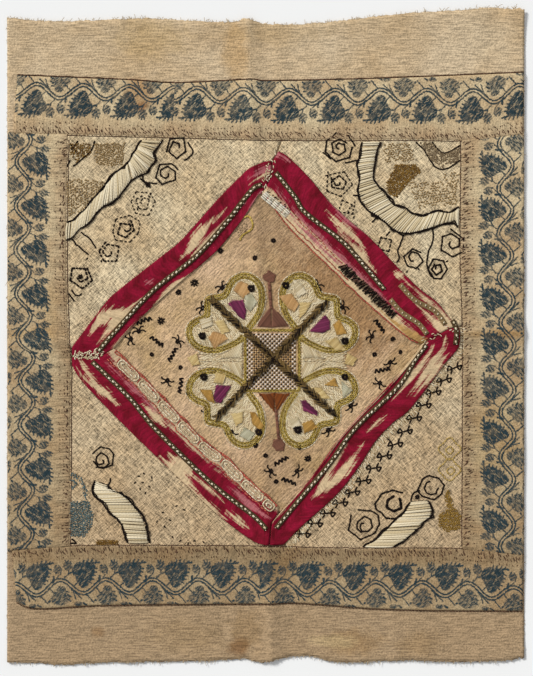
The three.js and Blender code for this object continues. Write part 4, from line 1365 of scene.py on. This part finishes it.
def key_border(lead):
    """A stepped line with a small triangle on each step, in turn above and below."""
    path = smooth(KEY_PATH, 1.0)
    count = int(length_of(path) / KEY_PITCH)
    share = (np.arange(count) + 0.5) / count
    rows = []
    for middle, way in zip(along(path, share), along(heading(path), share)):
        aside = left_of(way)
        for a, b, c, d in KEY_MARKS:
            start, end = middle + way * a + aside * b, middle + way * c + aside * d
            rows.append(stitch_rows([start], [end], lead * 1.1, 0.85))
    return rows


# Rosette

ROSETTE = (5.0, -18.7)

# One quarter of the lobed outline, from beside the square round two lobes, mm from the middle
LOBES = [
    (17.4, 24.0), (8.8, 37.0), (6.8, 52.0), (11.2, 62.0), (20.5, 66.8), (29.7, 63.7), (34.6, 57.0),
    (37.2, 51.2), (44.0, 49.6), (50.4, 48.0), (51.3, 41.0), (51.6, 34.6), (58.3, 32.0), (64.5, 26.4),
    (64.5, 17.4), (59.1, 10.4), (51.3, 7.2), (42.1, 6.8), (32.8, 9.9), (25.1, 13.9), (21.0, 18.0),
]

# Petals by quarter: the lower sign of x and y, colour, angle of the threads, corners from the middle
PETALS = [
    (-1, 1, "peach", 60, [(29, 54), (24.5, 61), (19, 59), (18, 53), (23, 48.5)]),
    (-1, 1, "sage", 80, [(20.5, 50), (15.5, 51), (12.5, 45), (17, 38), (20.5, 42)]),
    (-1, 1, "plum", -60, [(33, 43.5), (30.5, 46.5), (23, 46), (20.4, 38), (21.4, 31.6), (25.2, 34)]),
    (-1, 1, "straw", 10, [(43.6, 29.5), (37.4, 31), (33, 23.2), (39, 21)]),
    (-1, 1, "peach", 70, [(48.2, 17.4), (45, 22), (37.4, 20.4), (35.2, 16.6), (41.4, 12), (44.4, 9)]),
    (-1, 1, "cream", 20, [(56, 31.4), (47, 33), (46, 28), (54, 25)]),
    (1, 1, "cream", 40, [(16.6, 62), (22.8, 59), (26.6, 53), (19, 49.6)]),
    (1, 1, "peach", 60, [(6.4, 49), (15, 51.2), (19.8, 44.4), (16.6, 38.2), (12, 40.4)]),
    (1, 1, "straw", 20, [(21.4, 44.4), (30.4, 44.4), (26, 37.4), (21.4, 33)]),
    (1, 1, "plum", 15, [(29, 22.8), (33.6, 27.4), (40.6, 34.4), (44.4, 29.8), (44.4, 24.4), (38.4, 22)]),
    (1, 1, "gold", 70, [(47.6, 27.4), (52.2, 31.4), (57, 21.4), (49.8, 19.8)]),
    (1, 1, "straw", 45, [(41.4, 14.4), (50, 17.4), (56, 8.4), (48.4, 8.2)]),
    (-1, -1, "plum", 50, [(43, 19.8), (32.2, 19.8), (39.8, 32.2), (43.6, 32.2), (45.2, 29)]),
    (-1, -1, "gold", 75, [(55.2, 23), (46.8, 23), (45.2, 32.2), (49.8, 30.8)]),
    (-1, -1, "straw", 70, [(43, 9.2), (36, 11), (38.8, 17.8), (44.4, 17)]),
    (-1, -1, "gold", 60, [(16.6, 40.6), (12.8, 40.6), (7.4, 49), (9.6, 53.6), (15, 49)]),
    (-1, -1, "straw", 20, [(31.2, 42.2), (22.8, 39.8), (22.8, 46.8), (28, 50)]),
    (-1, -1, "sage", 40, [(21, 52), (14, 56), (18, 62), (25, 58)]),
    (1, -1, "plum", -30, [(22, 31.4), (26, 31.4), (35.2, 39.8), (34.4, 42.2), (24.4, 38.4)]),
    (1, -1, "gold", 15, [(40.6, 19), (48.4, 13.6), (50.6, 19.8)]),
    (1, -1, "straw", 30, [(30.6, 21.4), (38.2, 21.4), (44.4, 29), (37, 29)]),
    (1, -1, "sage", 60, [(53.8, 16.6), (61.4, 22.8), (54.6, 29)]),
    (1, -1, "gold", 40, [(23.6, 49), (30.6, 46), (34.4, 51.4), (25, 56)]),
    (1, -1, "cream", 40, [(14, 46), (20, 44), (22, 50), (15, 52)]),
]

# Petals whose thread isn't the floss of the same name
PETAL_THREADS = {"sage": "sage cream floss", "cream": "cream satin floss"}

# Black knots: x, y from the middle, radius
ROSETTE_KNOTS = [
    (-16.2, 55.6, 3.2), (-54, 19, 3.3), (10.4, 57.9, 3.2), (56, 15, 3.3), (-52.8, -12.8, 3.3),
    (-10.4, -55.2, 3.3), (56, -12.8, 3.0), (19.8, -53.6, 3.6),
]

# Sprigs outside the lobes: x, y from the middle, direction in degrees
ROSETTE_SPRIGS = [
    (-38.5, 56.2, 130), (-53.6, 40.5, 145), (34.6, 57.5, 50), (54.2, 41.2, 35), (-49.6, -39.8, 215),
    (-31.4, -55.2, 240), (60.6, -34.8, 325), (43.2, -53.6, 310),
]


def sprig(centre, heading_degrees, size=1.0):
    """A small dark blob with four curled feelers."""
    rows = [dot_stitch(centre, 2.1 * size, 6, 1.5)]
    for lean in (-80, -28, 28, 80):
        way, left = facing(heading_degrees + lean)
        side = left * (1 if lean >= 0 else -1)
        feeler = np.array([way * 1.2, way * 4.2 + side * 0.4, way * 5.0 + side * 2.4]) * size + centre
        rows.append(run_stitch(feeler, 1.6, 1.15, 0.9, gap=-0.12))
    return np.vstack(rows)


def from_middle(rows, side=(1, 1)):
    """Places given from the middle of the rosette, mirrored for a side, as places on the panel."""
    return np.array(rows, float) * side + ROSETTE


def grown(ring, share):
    """An outline drawn larger or smaller about its middle."""
    return ring.mean(axis=0) + (ring - ring.mean(axis=0)) * share


def sew_lobes():
    """Chain-stitched outline of the lobes and of the square, its cream edging and the laid threads inside."""
    chains, shade_threads, edging, ground = [], [], [], []
    outlines = []
    for sx in (-1, 1):
        for sy in (-1, 1):
            hand = sx * sy
            quarter = smooth(from_middle(LOBES, (sx, sy)), 0.7)
            outlines += [quarter, beside(quarter, -2.5 * hand)]
            edging.append(run_stitch(beside(quarter, -4.3 * hand), 2.6, 1.0, 0.9, wander=0.15))
            edging.append(run_stitch(beside(quarter, 1.9 * hand), 3.0, 0.9, 0.7, wander=0.15))
            lobe = np.vstack([quarter, from_middle([(19 * sx, 21 * sy)])])
            ground.append(seed_fill(lobe, 45 * hand, 3.0, 1.1, 3.4, 1.25, turning=0.22, high=0.5, wander=0.1))
    corners = from_middle([(-20.8, -23.4), (20.8, -23.4), (20.8, 23.4), (-20.8, 23.4), (-20.8, -23.4)])
    outlines += [straight(side, 0.7) for side in zip(corners[:-1], corners[1:])]
    for line in outlines:
        chains.append(chain_stitch(line, 2.6, 2.5, 0.85))
        # Dark olive stitches under each chain: the dark ground that shows through the links, and painted
        # shade inside and between them
        shade_threads.append(run_stitch(line, 3.0, 2.2, 0.5, PATCH_TOP + 0.1, gap=-0.05))
    sew("rosette_chain", chains, "golden chain thread", "centre_linen")
    sew("chain_shade_threads", shade_threads, "dark olive shade thread", "centre_linen")
    sew("rosette_ground", ground, "laid cream thread", "centre_linen")
    sew("rosette_edging", edging, "cream satin floss", "centre_linen")


def sew_checked_square():
    """Dots of pale and dark thread in turn, with a warm lozenge round the crossing."""
    pitch = 1.75
    across, up = np.arange(-19.2, 19.3, pitch), np.arange(-21.8, 21.9, pitch)
    grid = np.array([(x, y) for y in up for x in across])
    odd = (np.round((grid[:, 0] - across[0]) / pitch) + np.round((grid[:, 1] - up[0]) / pitch)) % 2 == 1
    core = (np.abs(grid[:, 1]) < np.abs(grid[:, 0]) + 2.5) & (np.abs(grid[:, 0]) < 15.5)
    slant = np.array([0.55, 0.55])
    for name, thread, dots in (
        ("check_pale", "pale pink thread", grid[~odd & ~core]),
        ("check_dark", "near-black thread", grid[odd]),
        ("check_warm", "warm brown thread", grid[~odd & core]),
    ):
        middles = from_middle(dots)
        sew(name, stitch_rows(middles - slant, middles + slant, 1.3, 0.8), thread, "centre_linen")


def sew_crossed_bars():
    """Two bars of slanting strands that cross over the square, with black strands along them."""
    ends = from_middle([(-47, 47), (49.5, -43.5), (-42.5, -43.5), (43.5, 47)])
    bars = [fishbone(ends[0], ends[1]), fishbone(ends[2], ends[3], seed=9)]
    sew("crossed_bars", bars, "olive-brown thread", "centre_linen")
    strands = [overcast(straight(from_middle(run)), 2.1, 5.0, 32, 1.15, 1.0, PATCH_TOP + 1.5, 0.8, seed=12)
               for run in ([(-47, 46), (49, -43)], [(-42, -43), (43, 46)])]
    sew("bar_strands", strands, "black silk thread", "centre_linen")


def sew_petals():
    """Satin petals inside the lobes, and the knots and sprigs round them."""
    petals = {}
    for sx, sy, shade, angle, ring in PETALS:
        outline = grown(from_middle(ring, (sx, sy)), 1.16)
        petals.setdefault(shade, []).append(satin_fill(outline, angle, 0.9, 1.0, base=PATCH_TOP + 0.4))
    for shade, rows in petals.items():
        sew(f"petals_{shade}", rows, PETAL_THREADS.get(shade, f"{shade} floss"), "centre_linen")
    knots = [dot_stitch(from_middle((x, y)), radius, 10, 1.6, PATCH_TOP + 0.6)
             for x, y, radius in ROSETTE_KNOTS]
    knots += [sprig(from_middle((x, y)), turn) for x, y, turn in ROSETTE_SPRIGS]
    sew("rosette_knots", knots, "black silk thread", "centre_linen")


def sew_finials():
    """The finials over and under the rosette, each a stem with a head, and a wedge at its foot."""
    top = [
        satin_fill(
            from_middle([(-8, 65.5), (-2.2, 69.5), (3.4, 66.5), (1.8, 61.2), (-2.5, 59.6), (-6.8, 62)]), 30,
        ),
        satin_between(straight(from_middle([(-3.6, 60), (-2.2, 40)])),
                      straight(from_middle([(-1.0, 60), (0.4, 40)])), 0.9, slant=0.02),
        satin_fill(from_middle([(-0.5, 43), (-0.5, 25.5), (-13, 25.5)]), 52),
        satin_fill(from_middle([(-0.5, 43), (-0.5, 25.5), (14, 25.5)]), 128),
    ]
    sew("top_finial", top, "mauve-brown thread", "centre_linen")
    wedge = [
        satin_fill(from_middle([(-11, -25), (1.5, -25), (2.5, -41)]), 118, 0.9),
        satin_fill(from_middle([(1.5, -25), (14, -25), (2.5, -41)]), 62, 0.9),
    ]
    sew("bottom_wedge", wedge, "rust thread", "centre_linen")
    stem = [
        satin_between(straight(from_middle([(1.8, -38), (4.0, -62)])),
                      straight(from_middle([(4.2, -38), (6.4, -62)])), 0.9, slant=0.02),
        satin_fill(from_middle([(1, -61), (7, -60), (10.5, -64), (9, -69.5), (3, -70), (-0.5, -66)]), 25),
    ]
    sew("bottom_finial", stem, "mauve-brown thread", "centre_linen")


def sew_white_work():
    """White work at both sides: stems of cream thread round a peach square."""
    white, squares = [], []
    for sx in (-1, 1):
        ring = [(22.5, -17), (31, -10), (42, -5), (56, -5), (56, 5), (42, 5), (31, 10), (22.5, 17)]
        white.append(seed_fill(from_middle(ring, (sx, 1)), 8 * sx, 2.9, 1.0, 3.2, 1.1, turning=0.3, high=0.6))
        for level in (-5.5, 0.0, 5.5):
            line = smooth(from_middle([(23 * sx, level * 2.4), (41 * sx, level), (58 * sx, level)]), 0.8)
            white.append(run_stitch(line, 2.4, 1.1, 0.9, PATCH_TOP + 0.3, wander=0.12))
        for sy in (-1, 1):
            fan = from_middle([(23, 15 * sy), (41, 1.6 * sy), (23, 1.6 * sy)], (sx, 1))
            white.append(satin_fill(fan, 90 + 25 * sx * sy, 1.15, 1.2, 0.9, PATCH_TOP + 0.4))
        square = from_middle([(55.5, -3), (62, -4.5), (66, 2), (58, 6)], (sx, 1))
        squares.append(satin_fill(square, 50, 0.9, 1.0, base=PATCH_TOP + 0.4))
    sew("white_work", white, "laid cream thread", "centre_linen")
    sew("side_squares", squares, "straw floss", "centre_linen")


def build_rosette():
    sew_lobes()
    sew_checked_square()
    sew_crossed_bars()
    sew_petals()
    sew_finials()
    sew_white_work()


# Scattered motifs of the centre

# Plain sprigs, dots and zigzags on the middle cloth: kind, x, y, size or direction
SCATTER = [
    ("dot", -55, 41.5, 3.4), ("dot", -81, 12, 3.2), ("dot", 32.5, -94.5, 3.0), ("dot", -67.5, 34, 2.6),
    ("dot", -35, 66, 2.4), ("dot", -8.5, 60.5, 2.2), ("dot", 6, 74, 2.0),
    ("zigzag", -94, 12, 20), ("zigzag", -84, -4, -35), ("sprig", -104, -2, 200), ("sprig", -98, 4, 100),
    ("zigzag", -72, -14, 60), ("sprig", -76, -34, 250), ("dot", -66, -24, 1.8), ("dot", -88, -14, 1.8),
    ("zigzag", -66, -38, 80), ("sprig", -68, -4, 40), ("dot", -60, -44, 1.9), ("dot", -92, 22, 1.9),
    ("zigzag", 88, 8, -50), ("sprig", 82, 0, 160), ("dot", 98, -2, 2.0), ("sprig", 96, -20, 300),
    ("zigzag", 90, -26, 10), ("dot", 84, -14, 2.0), ("dot", 104, -12, 1.8), ("sprig", 88, -36, 230),
    ("dot", 92, 16, 1.8), ("zigzag", 12, -96, 30), ("sprig", 4, -104, 220), ("dot", 0, -92, 2.0),
    ("zigzag", 18, -112, -20), ("sprig", 24, -104, 330), ("dot", -8, -84, 2.4), ("dot", 8, -112, 1.9),
    ("dot", 26, -86, 1.8),
]


def build_scatter():
    rows = []
    for k, (kind, x, y, size) in enumerate(SCATTER):
        if kind == "dot":
            rows.append(dot_stitch((x, y), size, 8, 1.3, seed=k))
        elif kind == "sprig":
            rows.append(sprig((x, y), size, 0.95))
        else:
            way, side = facing(size)
            steps = np.array([way * run * 1.5 + side * ((run % 2) * 3.4 - 1.7) for run in range(-4, 5)])
            rows.append(run_stitch(steps + (x, y), 3.6, 1.5, 0.9, gap=-0.02, wander=0.3, seed=k))
    sew("scattered_sprigs", rows, "black silk thread", "centre_linen")
    # What is left of a small chain ring with a latticed middle
    ring = smooth([(-30, 78), (-25, 84), (-14, 93), (-10, 84), (-18, 78), (-20, 74)], 0.8)
    sew("chain_ring", chain_stitch(ring, 2.4, 1.8), "golden chain thread", "centre_linen")
    sew("lattice_patch",
        seed_fill([(-24, 80), (-16, 89), (-12, 84), (-19, 77)], 45, 2.2, 1.6, 1.6, 0.7, 0.9),
        "faded grey thread", "centre_linen")


# Work on the strips


def build_strip_work():
    base = STRIP_TOP
    # Rings of cream cord in a row along the lower left strip, one inside the other
    inner = LINES["bl_inner"]
    row = beside(inner, -4.7)
    cords, ties, wraps = [], [], []
    ends = np.append(0.04 + 0.128 * np.arange(8), 1.0)
    for k, (low, high) in enumerate(zip(ends[:-1], ends[1:])):
        for inset, wide in ((0.9, 3.4), (2.9, 1.3)):
            inset = inset / reach_of(row)[-1]
            run = along(row, np.linspace(low + inset, high - inset, 18))
            half = wide * np.sqrt(np.clip(1 - np.linspace(-1, 1, 18) ** 8, 0, 1))
            ring = np.vstack([beside(run, half), beside(run, -half)[::-1]])
            cords.append(run_stitch(np.vstack([ring, ring[:1]]), 2.8, 1.15, 1.3, base, gap=-0.05,
                                    wander=0.12, seed=k))
            ties.append(overcast(ring, 6.5, 1.3, 90, 0.4, 0.5, base + 1.0, 0.5, seed=k))
        edge = along(row, low)
        wraps.append(stitch_rows([edge - (1.4, 1.8)], [edge + (1.4, 1.8)], 0.9, 1.1, base))
    sew("cream_cartouches", cords, "cream satin floss", "ikat_silk")
    sew("cartouche_ties", ties, "brown sewing thread", "ikat_silk")

    scallop = 1.0 * np.abs(np.sin((np.linspace(0, 1, len(inner)) - ends[0]) / (ends[1] - ends[0]) * math.pi))
    thin = [
        run_stitch(beside(inner, 0.3 - scallop), 2.4, 1.3, 1.0, base, gap=-0.02, wander=0.25),
        run_stitch(beside(inner, -0.7 - scallop), 2.1, 1.2, 0.9, base, gap=0.02, wander=0.3, seed=9),
        run_stitch(beside(row, -4.4 - scallop), 3.2, 1.1, 0.9, base, gap=0.05, wander=0.5),
        np.vstack(wraps),
    ]
    tr = LINES["tr_inner"]
    thin.append(run_stitch(beside(tr, 0.5), 3.0, 1.15, 0.7, base, gap=0.0, wander=0.35))
    thin.append(run_stitch(between(beside(tr, -2.6), 0, 8, 64)[::-1], 3.2, 0.95, 0.6, base, gap=0.0,
                           wander=0.4))
    thin.append(run_stitch(between(beside(tr, -8.6), 0, 24, 62)[::-1], 3.0, 0.8, 0.5, base, gap=0.1,
                           wander=0.4))
    sew("thin_red_lines", thin, "brick red thread", "ikat_silk")

    joins = [
        seed_fill([(-148, -11), (-140, -12.5), (-127, -8), (-123, -12), (-129, -17.5), (-148, -17.5)], 20,
                  2.0, 1.2, 2.2, 1.0, 0.8, base, turning=0.7),
        seed_fill([(4, 141), (9, 146), (6, 128), (0, 112), (-6, 108), (-2, 122)], 100, 2.4, 1.6, 2.4, 0.9,
                  0.6, base, turning=0.5),
        seed_fill([(118, -2), (128, 3), (140, 8), (146, 4), (132, -3), (120, -8)], 20, 2.6, 1.8, 2.4, 0.8,
                  0.35, base, turning=0.6),
    ]
    sew("joining_stitches", joins, "cream satin floss", "ikat_silk")
    middle = straight([(58, 55), (99.5, 15.7)])
    bar = overcast(middle, 0.75, 7.2, 78, 0.85, 1.1, base + 0.2, wander=0.3, seed=15)
    sew("black_bar", bar, "black silk thread", "ikat_silk")
    flecks = overcast(middle, 1.6, 3.4, 68, 0.55, 0.5, base + 1.1, 0.8, wander=1.5, seed=16)
    sew("bar_flecks", flecks, "brown sewing thread", "ikat_silk")
    white = smooth([(-2, 110), (8, 102), (17.5, 93.5)], 0.8)
    couched = [run_stitch(beside(white, shift), 5.0, 1.5, 1.2, base, gap=-0.02, wander=0.15)
               for shift in (-2.6, -1.0, 0.6, 2.2)]
    sew("white_bar", couched, "white couched cord", "ikat_silk")
    dark = [overcast(white, 4.4, 1.6, 85, 0.45, 0.6, base + 0.9, 0.7, wander=1.6),
            overcast(beside(white, 3.8), 2.2, 1.8, 60, 0.8, 0.6, base, 0.8)]
    sew("white_bar_ties", dark, "black silk thread", "ikat_silk")


# Hand stitching and frayed edges


def build_hand_stitching():
    folds = {
        "top": LINES["top_fold"], "bottom": LINES["bottom_fold"][::-1],
        "left": LINES["left_fold"][::-1], "right": LINES["right_fold"],
    }
    tacks, hems, sewing_and_shadow = [], [], []
    for k, (name, fold) in enumerate(folds.items()):
        if name in ("left", "right"):
            fold = between(fold, 1, -162, 152)
            fold = fold if name == "left" else fold[::-1]
        for j, (away, keep, length) in enumerate(((2.6, 0.8, 3.2), (5.0, 0.6, 2.2), (8.4, 0.5, 1.3))):
            tacks.append(overcast(beside(fold, away), 2.1, length, 118, 0.7, 0.5, BORDER_TOP, keep,
                                  wander=0.8, seed=10 * k + j))
        # Brown stitches on the patch beside each fold: sewing, and also a dark line of painted shadow under
        # the fold's edge
        sewing_and_shadow.append(run_stitch(beside(fold, -0.7), 3.0, 0.75, 0.6, PATCH_TOP, gap=-0.05, wander=0.12,
                                  seed=30 + k))
        hems.append(overcast(fold, 3.1, 2.4, 70, 0.55, 0.6, BORDER_TOP - 0.45, 0.9, seed=50 + k))
    sew("brown_tacking", tacks, "brown sewing thread", "printed_cotton")
    sew("hem_stitches", hems, "linen sewing thread", "printed_cotton")
    sew("fold_sewing_and_shadow", sewing_and_shadow, "brown sewing thread", "ribbed_cloth")

    frame_edges = []
    for k, name in enumerate(("tl_outer", "tr_outer", "br_outer", "bl_outer")):
        frame_edges.append(overcast(LINES[name], 1.9, 1.5, 80, 0.5, 0.5, STRIP_TOP - 0.55, 0.85, seed=60 + k))
    for k, name in enumerate(("tl_inner", "br_inner")):
        frame_edges.append(overcast(LINES[name], 2.2, 1.4, 100, 0.45, 0.45, STRIP_TOP - 0.5, 0.8,
                                    seed=70 + k))
    sew("frame_whipping", frame_edges, "brown sewing thread", "ikat_silk")
    seams = [
        run_stitch(beside(LINES["top_seam"], 0.7), 2.6, 1.0, 0.8, GROUND_TOP + 0.4, gap=-0.04),
        run_stitch(beside(LINES["bottom_seam"], -0.7), 2.6, 0.7, 0.7, GROUND_TOP + 0.4, gap=0.05),
    ]
    sew("seam_stitches", seams, "brown sewing thread", "printed_cotton")


def build_frayed_edges():
    chance = np.random.default_rng(31)
    rows = []
    loose, at_side = 330, 120
    for name, out in (("top_edge", 1), ("bottom_edge", -1)):
        share = np.sort(chance.random(loose))
        root, reach = along(LINES[name], share), chance.gamma(2.0, 0.5, loose)
        lean = chance.normal(0, 0.7, loose)
        tip = root + np.stack([lean * reach, reach * out], axis=1)
        rows.append(stitch_rows(root - (0, 1.2 * out), tip, 0.38, 0.34, GROUND_TOP - 0.55, lean * 0.4, 0.1))
    for x in (-HALF_WIDTH, HALF_WIDTH):
        level = chance.uniform(-244, 240, at_side)
        reach = chance.gamma(1.6, 0.22, at_side) * np.sign(x)
        root = np.stack([np.full(at_side, x), level], axis=1)
        tip = root + np.stack([reach, chance.normal(0, 1.2, at_side)], axis=1)
        rows.append(stitch_rows(root, tip, 0.36, 0.32, GROUND_TOP - 0.5))
    sew("frayed_threads", rows, "frayed linen thread", "plain_linen")


def build_stage():
    """Pale floor, soft daylight from the upper left and a long lens straight above."""
    stage = bpy.context.scene.panel_stage
    scene = bpy.context.scene
    floor_mesh = bpy.data.meshes.new("floor")
    plane = bmesh.new()
    bmesh.ops.create_grid(plane, x_segments=1, y_segments=1, size=4)
    plane.to_mesh(floor_mesh)
    plane.free()
    finish, tree = new_finish("matt white paper")
    shader = add(tree, "BsdfPrincipled", {
        "Base Color": stage.floor, "Roughness": 0.95, "Specular IOR Level": 0.1,
    })
    add(tree, "OutputMaterial", {"Surface": shader}, out=None)
    floor = shelf("floor", floor_mesh, finish)

    lamp = bpy.data.lights.new("daylight", "SUN")
    lamp.energy = stage.daylight
    lamp.angle = stage.softness
    lamp.color = (1.0, 0.985, 0.95)
    holder = bpy.data.objects.new("daylight", lamp)
    scene.collection.objects.link(holder)
    aim = Vector((1.0, -0.85, -math.tan(stage.height) * math.hypot(1.0, 0.85)))
    holder.rotation_mode = "QUATERNION"
    holder.rotation_quaternion = aim.to_track_quat("-Z", "Y")
    world = bpy.data.worlds.new("soft room")
    world.use_nodes = True
    sky = world.node_tree.nodes["Background"]
    sky.inputs["Color"].default_value = (0.94, 0.97, 1.0, 1.0)
    sky.inputs["Strength"].default_value = stage.sky
    scene.world = world
    scene.view_settings.view_transform = "Standard"

    camera = bpy.data.cameras.new("camera")
    camera.lens = stage.lens
    camera.sensor_width = 36
    camera.clip_end = 20
    # The photograph shows 522 mm from top to bottom, and its middle is 0.6 mm right and 1.3 mm low
    view_height = stage.view_height / MM
    away = view_height / camera.sensor_width * camera.lens
    holder = bpy.data.objects.new("camera", camera)
    holder.location = (0.6 * MM, -1.3 * MM, (away + 3) * MM)
    scene.collection.objects.link(holder)
    scene.camera = holder


# Add-on


def length(name, description, default, low, high):
    """A length in mm that a user can change."""
    return FloatProperty(name=name, description=description, default=default * MM, min=low * MM,
                         max=high * MM, unit="LENGTH", precision=5)


def shade(name, description, text):
    """A colour that a user can change."""
    return FloatVectorProperty(name=name, description=description, default=linear(text), size=4, min=0, max=1,
                               subtype="COLOR")


class PanelCloths(PropertyGroup):
    """Sizes and colours of the cloths."""
    ripple: length("Ripple height", "How high each soft ripple in the cloth stands", 0.16, 0, 2)
    ground_thickness: length("Ground thickness", "Thickness of the plain ground cloth", 1.0, 0.2, 3)
    patch_thickness: length("Patch thickness", "Thickness of corner, centre and silk cloths", 1.25, 0.2, 3)
    border_thickness: length("Border thickness", "Thickness of the folded printed borders", 1.7, 0.2, 3)
    braid_width: length("Braid width", "Width of the silk braids", 4.0, 2, 8)
    repeat: length("Print repeat", "Length of one repeat of the printed vine", 35.5, 30, 45)
    linen: shade("Linen", "Lighter colour of the plain linen", "cdb797")
    linen_dark: shade("Linen clouds", "Colour of the soft clouds in the linen", "bfa47f")
    linen_low: shade("Linen, lower edge", "Colour of the browner lower part", "a3896a")
    cotton: shade("Cotton", "Ground colour of the printed cotton", "cfbb96")
    cotton_dark: shade("Cotton clouds", "Darker ground of the printed cotton", "bca07a")
    ink: shade("Ink", "Blue-black of the print", "2a3a40")
    ribbed: shade("Corner cotton", "Colour of the corner cloths", "cebc9b")
    ribbed_dark: shade("Corner clouds", "Darker colour of the corner cloths", "c0a782")
    centre: shade("Centre linen", "Colour of the middle cloth", "ceae8c")
    centre_dark: shade("Centre clouds", "Darker colour of the middle cloth", "b7996f")
    crimson: shade("Crimson", "Dyed silk, brighter", "8c0f2e")
    crimson_deep: shade("Deep crimson", "Dyed silk, deeper", "660919")
    braid: shade("Braid", "Dark ground of the braids", "524129")
    braid_tan: shade("Tan braid", "Ground of the two short braids", "937a54")


class PanelThreads(PropertyGroup):
    """Sizes of the threads."""
    outline: length("Outline thread", "Width of the black outline thread", 1.15, 0.3, 3)


class PanelStage(PropertyGroup):
    """Floor, lights and camera."""
    lens: FloatProperty(name="Lens", description="Focal length of the camera, mm", default=110, min=35,
                        max=300)
    view_height: length("View height", "What the camera sees from top to bottom", 521.9, 100, 2000)
    daylight: FloatProperty(name="Daylight", description="Strength of the light from the upper left",
                            default=3.0, min=0, max=20)
    softness: FloatProperty(name="Softness", description="How wide the daylight spreads",
                            default=math.radians(16), min=0, max=math.pi / 2, subtype="ANGLE")
    height: FloatProperty(name="Height of the light",
                          description="How high the daylight stands over the floor",
                          default=math.radians(36), min=0.1, max=math.pi / 2, subtype="ANGLE")
    sky: FloatProperty(name="Room light", description="Strength of the light from all round",
                       default=0.47, min=0, max=3)
    floor: shade("Floor", "Colour of the paper under the panel", "f2f2f2")


class PANEL_OT_ground(Operator):
    """Lay the plain linen ground cloth"""
    bl_idname = "embroidered_panel.ground"
    bl_label = "Linen ground"

    def execute(self, context):
        build_ground()
        return {"FINISHED"}


class PANEL_OT_borders(Operator):
    """Lay the four printed cotton borders"""
    bl_idname = "embroidered_panel.borders"
    bl_label = "Printed borders"

    def execute(self, context):
        build_borders()
        return {"FINISHED"}


class PANEL_OT_corners(Operator):
    """Lay the four corner cloths"""
    bl_idname = "embroidered_panel.corners"
    bl_label = "Corner cloths"

    def execute(self, context):
        build_corners()
        return {"FINISHED"}


class PANEL_OT_centre(Operator):
    """Lay the middle cloth"""
    bl_idname = "embroidered_panel.centre"
    bl_label = "Middle cloth"

    def execute(self, context):
        build_centre()
        return {"FINISHED"}


class PANEL_OT_silk(Operator):
    """Lay the four strips of dyed silk"""
    bl_idname = "embroidered_panel.silk"
    bl_label = "Silk strips"

    def execute(self, context):
        build_silk()
        return {"FINISHED"}


class PANEL_OT_braids(Operator):
    """Sew down the knotted braids"""
    bl_idname = "embroidered_panel.braids"
    bl_label = "Braids"

    def execute(self, context):
        build_braids()
        return {"FINISHED"}


class PANEL_OT_corner_work(Operator):
    """Work the satin ribbons, spirals and seeded patches of the corners"""
    bl_idname = "embroidered_panel.corner_work"
    bl_label = "Corner embroidery"

    def execute(self, context):
        build_corner_work()
        return {"FINISHED"}


class PANEL_OT_rosette(Operator):
    """Work the lobed rosette of the middle"""
    bl_idname = "embroidered_panel.rosette"
    bl_label = "Rosette"

    def execute(self, context):
        build_rosette()
        return {"FINISHED"}


class PANEL_OT_scatter(Operator):
    """Work the small sprigs and dots round the rosette"""
    bl_idname = "embroidered_panel.scatter"
    bl_label = "Scattered sprigs"

    def execute(self, context):
        build_scatter()
        return {"FINISHED"}


class PANEL_OT_strip_work(Operator):
    """Work the cartouches, bars and thin lines of the strips"""
    bl_idname = "embroidered_panel.strip_work"
    bl_label = "Strip embroidery"

    def execute(self, context):
        build_strip_work()
        return {"FINISHED"}


class PANEL_OT_hand_stitching(Operator):
    """Sew the tacking, hems and whipped edges"""
    bl_idname = "embroidered_panel.hand_stitching"
    bl_label = "Hand stitching"

    def execute(self, context):
        build_hand_stitching()
        return {"FINISHED"}


class PANEL_OT_frayed_edges(Operator):
    """Pull loose threads out of the raw edges"""
    bl_idname = "embroidered_panel.frayed_edges"
    bl_label = "Frayed edges"

    def execute(self, context):
        build_frayed_edges()
        return {"FINISHED"}


class PANEL_OT_stage(Operator):
    """Set the floor, the lights and the camera"""
    bl_idname = "embroidered_panel.stage"
    bl_label = "Stage"

    def execute(self, context):
        build_stage()
        return {"FINISHED"}


STEPS = (
    PANEL_OT_ground, PANEL_OT_borders, PANEL_OT_corners, PANEL_OT_centre, PANEL_OT_silk, PANEL_OT_braids,
    PANEL_OT_corner_work, PANEL_OT_rosette, PANEL_OT_scatter, PANEL_OT_strip_work, PANEL_OT_hand_stitching,
    PANEL_OT_frayed_edges, PANEL_OT_stage,
)


class PANEL_PT_steps(Panel):
    """The steps of the embroidered panel"""
    bl_idname = "PANEL_PT_steps"
    bl_label = "Embroidered panel"
    bl_space_type = "VIEW_3D"
    bl_region_type = "UI"
    bl_category = "Panel"

    def draw(self, context):
        for step in STEPS:
            self.layout.operator(step.bl_idname)


GROUPS = {"panel_cloths": PanelCloths, "panel_threads": PanelThreads, "panel_stage": PanelStage}


def register():
    for group in GROUPS.values():
        bpy.utils.register_class(group)
    for name, group in GROUPS.items():
        setattr(bpy.types.Scene, name, PointerProperty(type=group))
    for step in STEPS:
        bpy.utils.register_class(step)
    bpy.utils.register_class(PANEL_PT_steps)


def unregister():
    bpy.utils.unregister_class(PANEL_PT_steps)
    for step in reversed(STEPS):
        bpy.utils.unregister_class(step)
    for name, group in GROUPS.items():
        delattr(bpy.types.Scene, name)
        bpy.utils.unregister_class(group)


def main():
    register()
    make = bpy.ops.embroidered_panel
    make.ground()
    make.borders()
    make.corners()
    make.centre()
    make.silk()
    make.braids()
    make.corner_work()
    make.rosette()
    make.scatter()
    make.strip_work()
    make.hand_stitching()
    make.frayed_edges()
    make.stage()


if __name__ == "__main__":
    main()
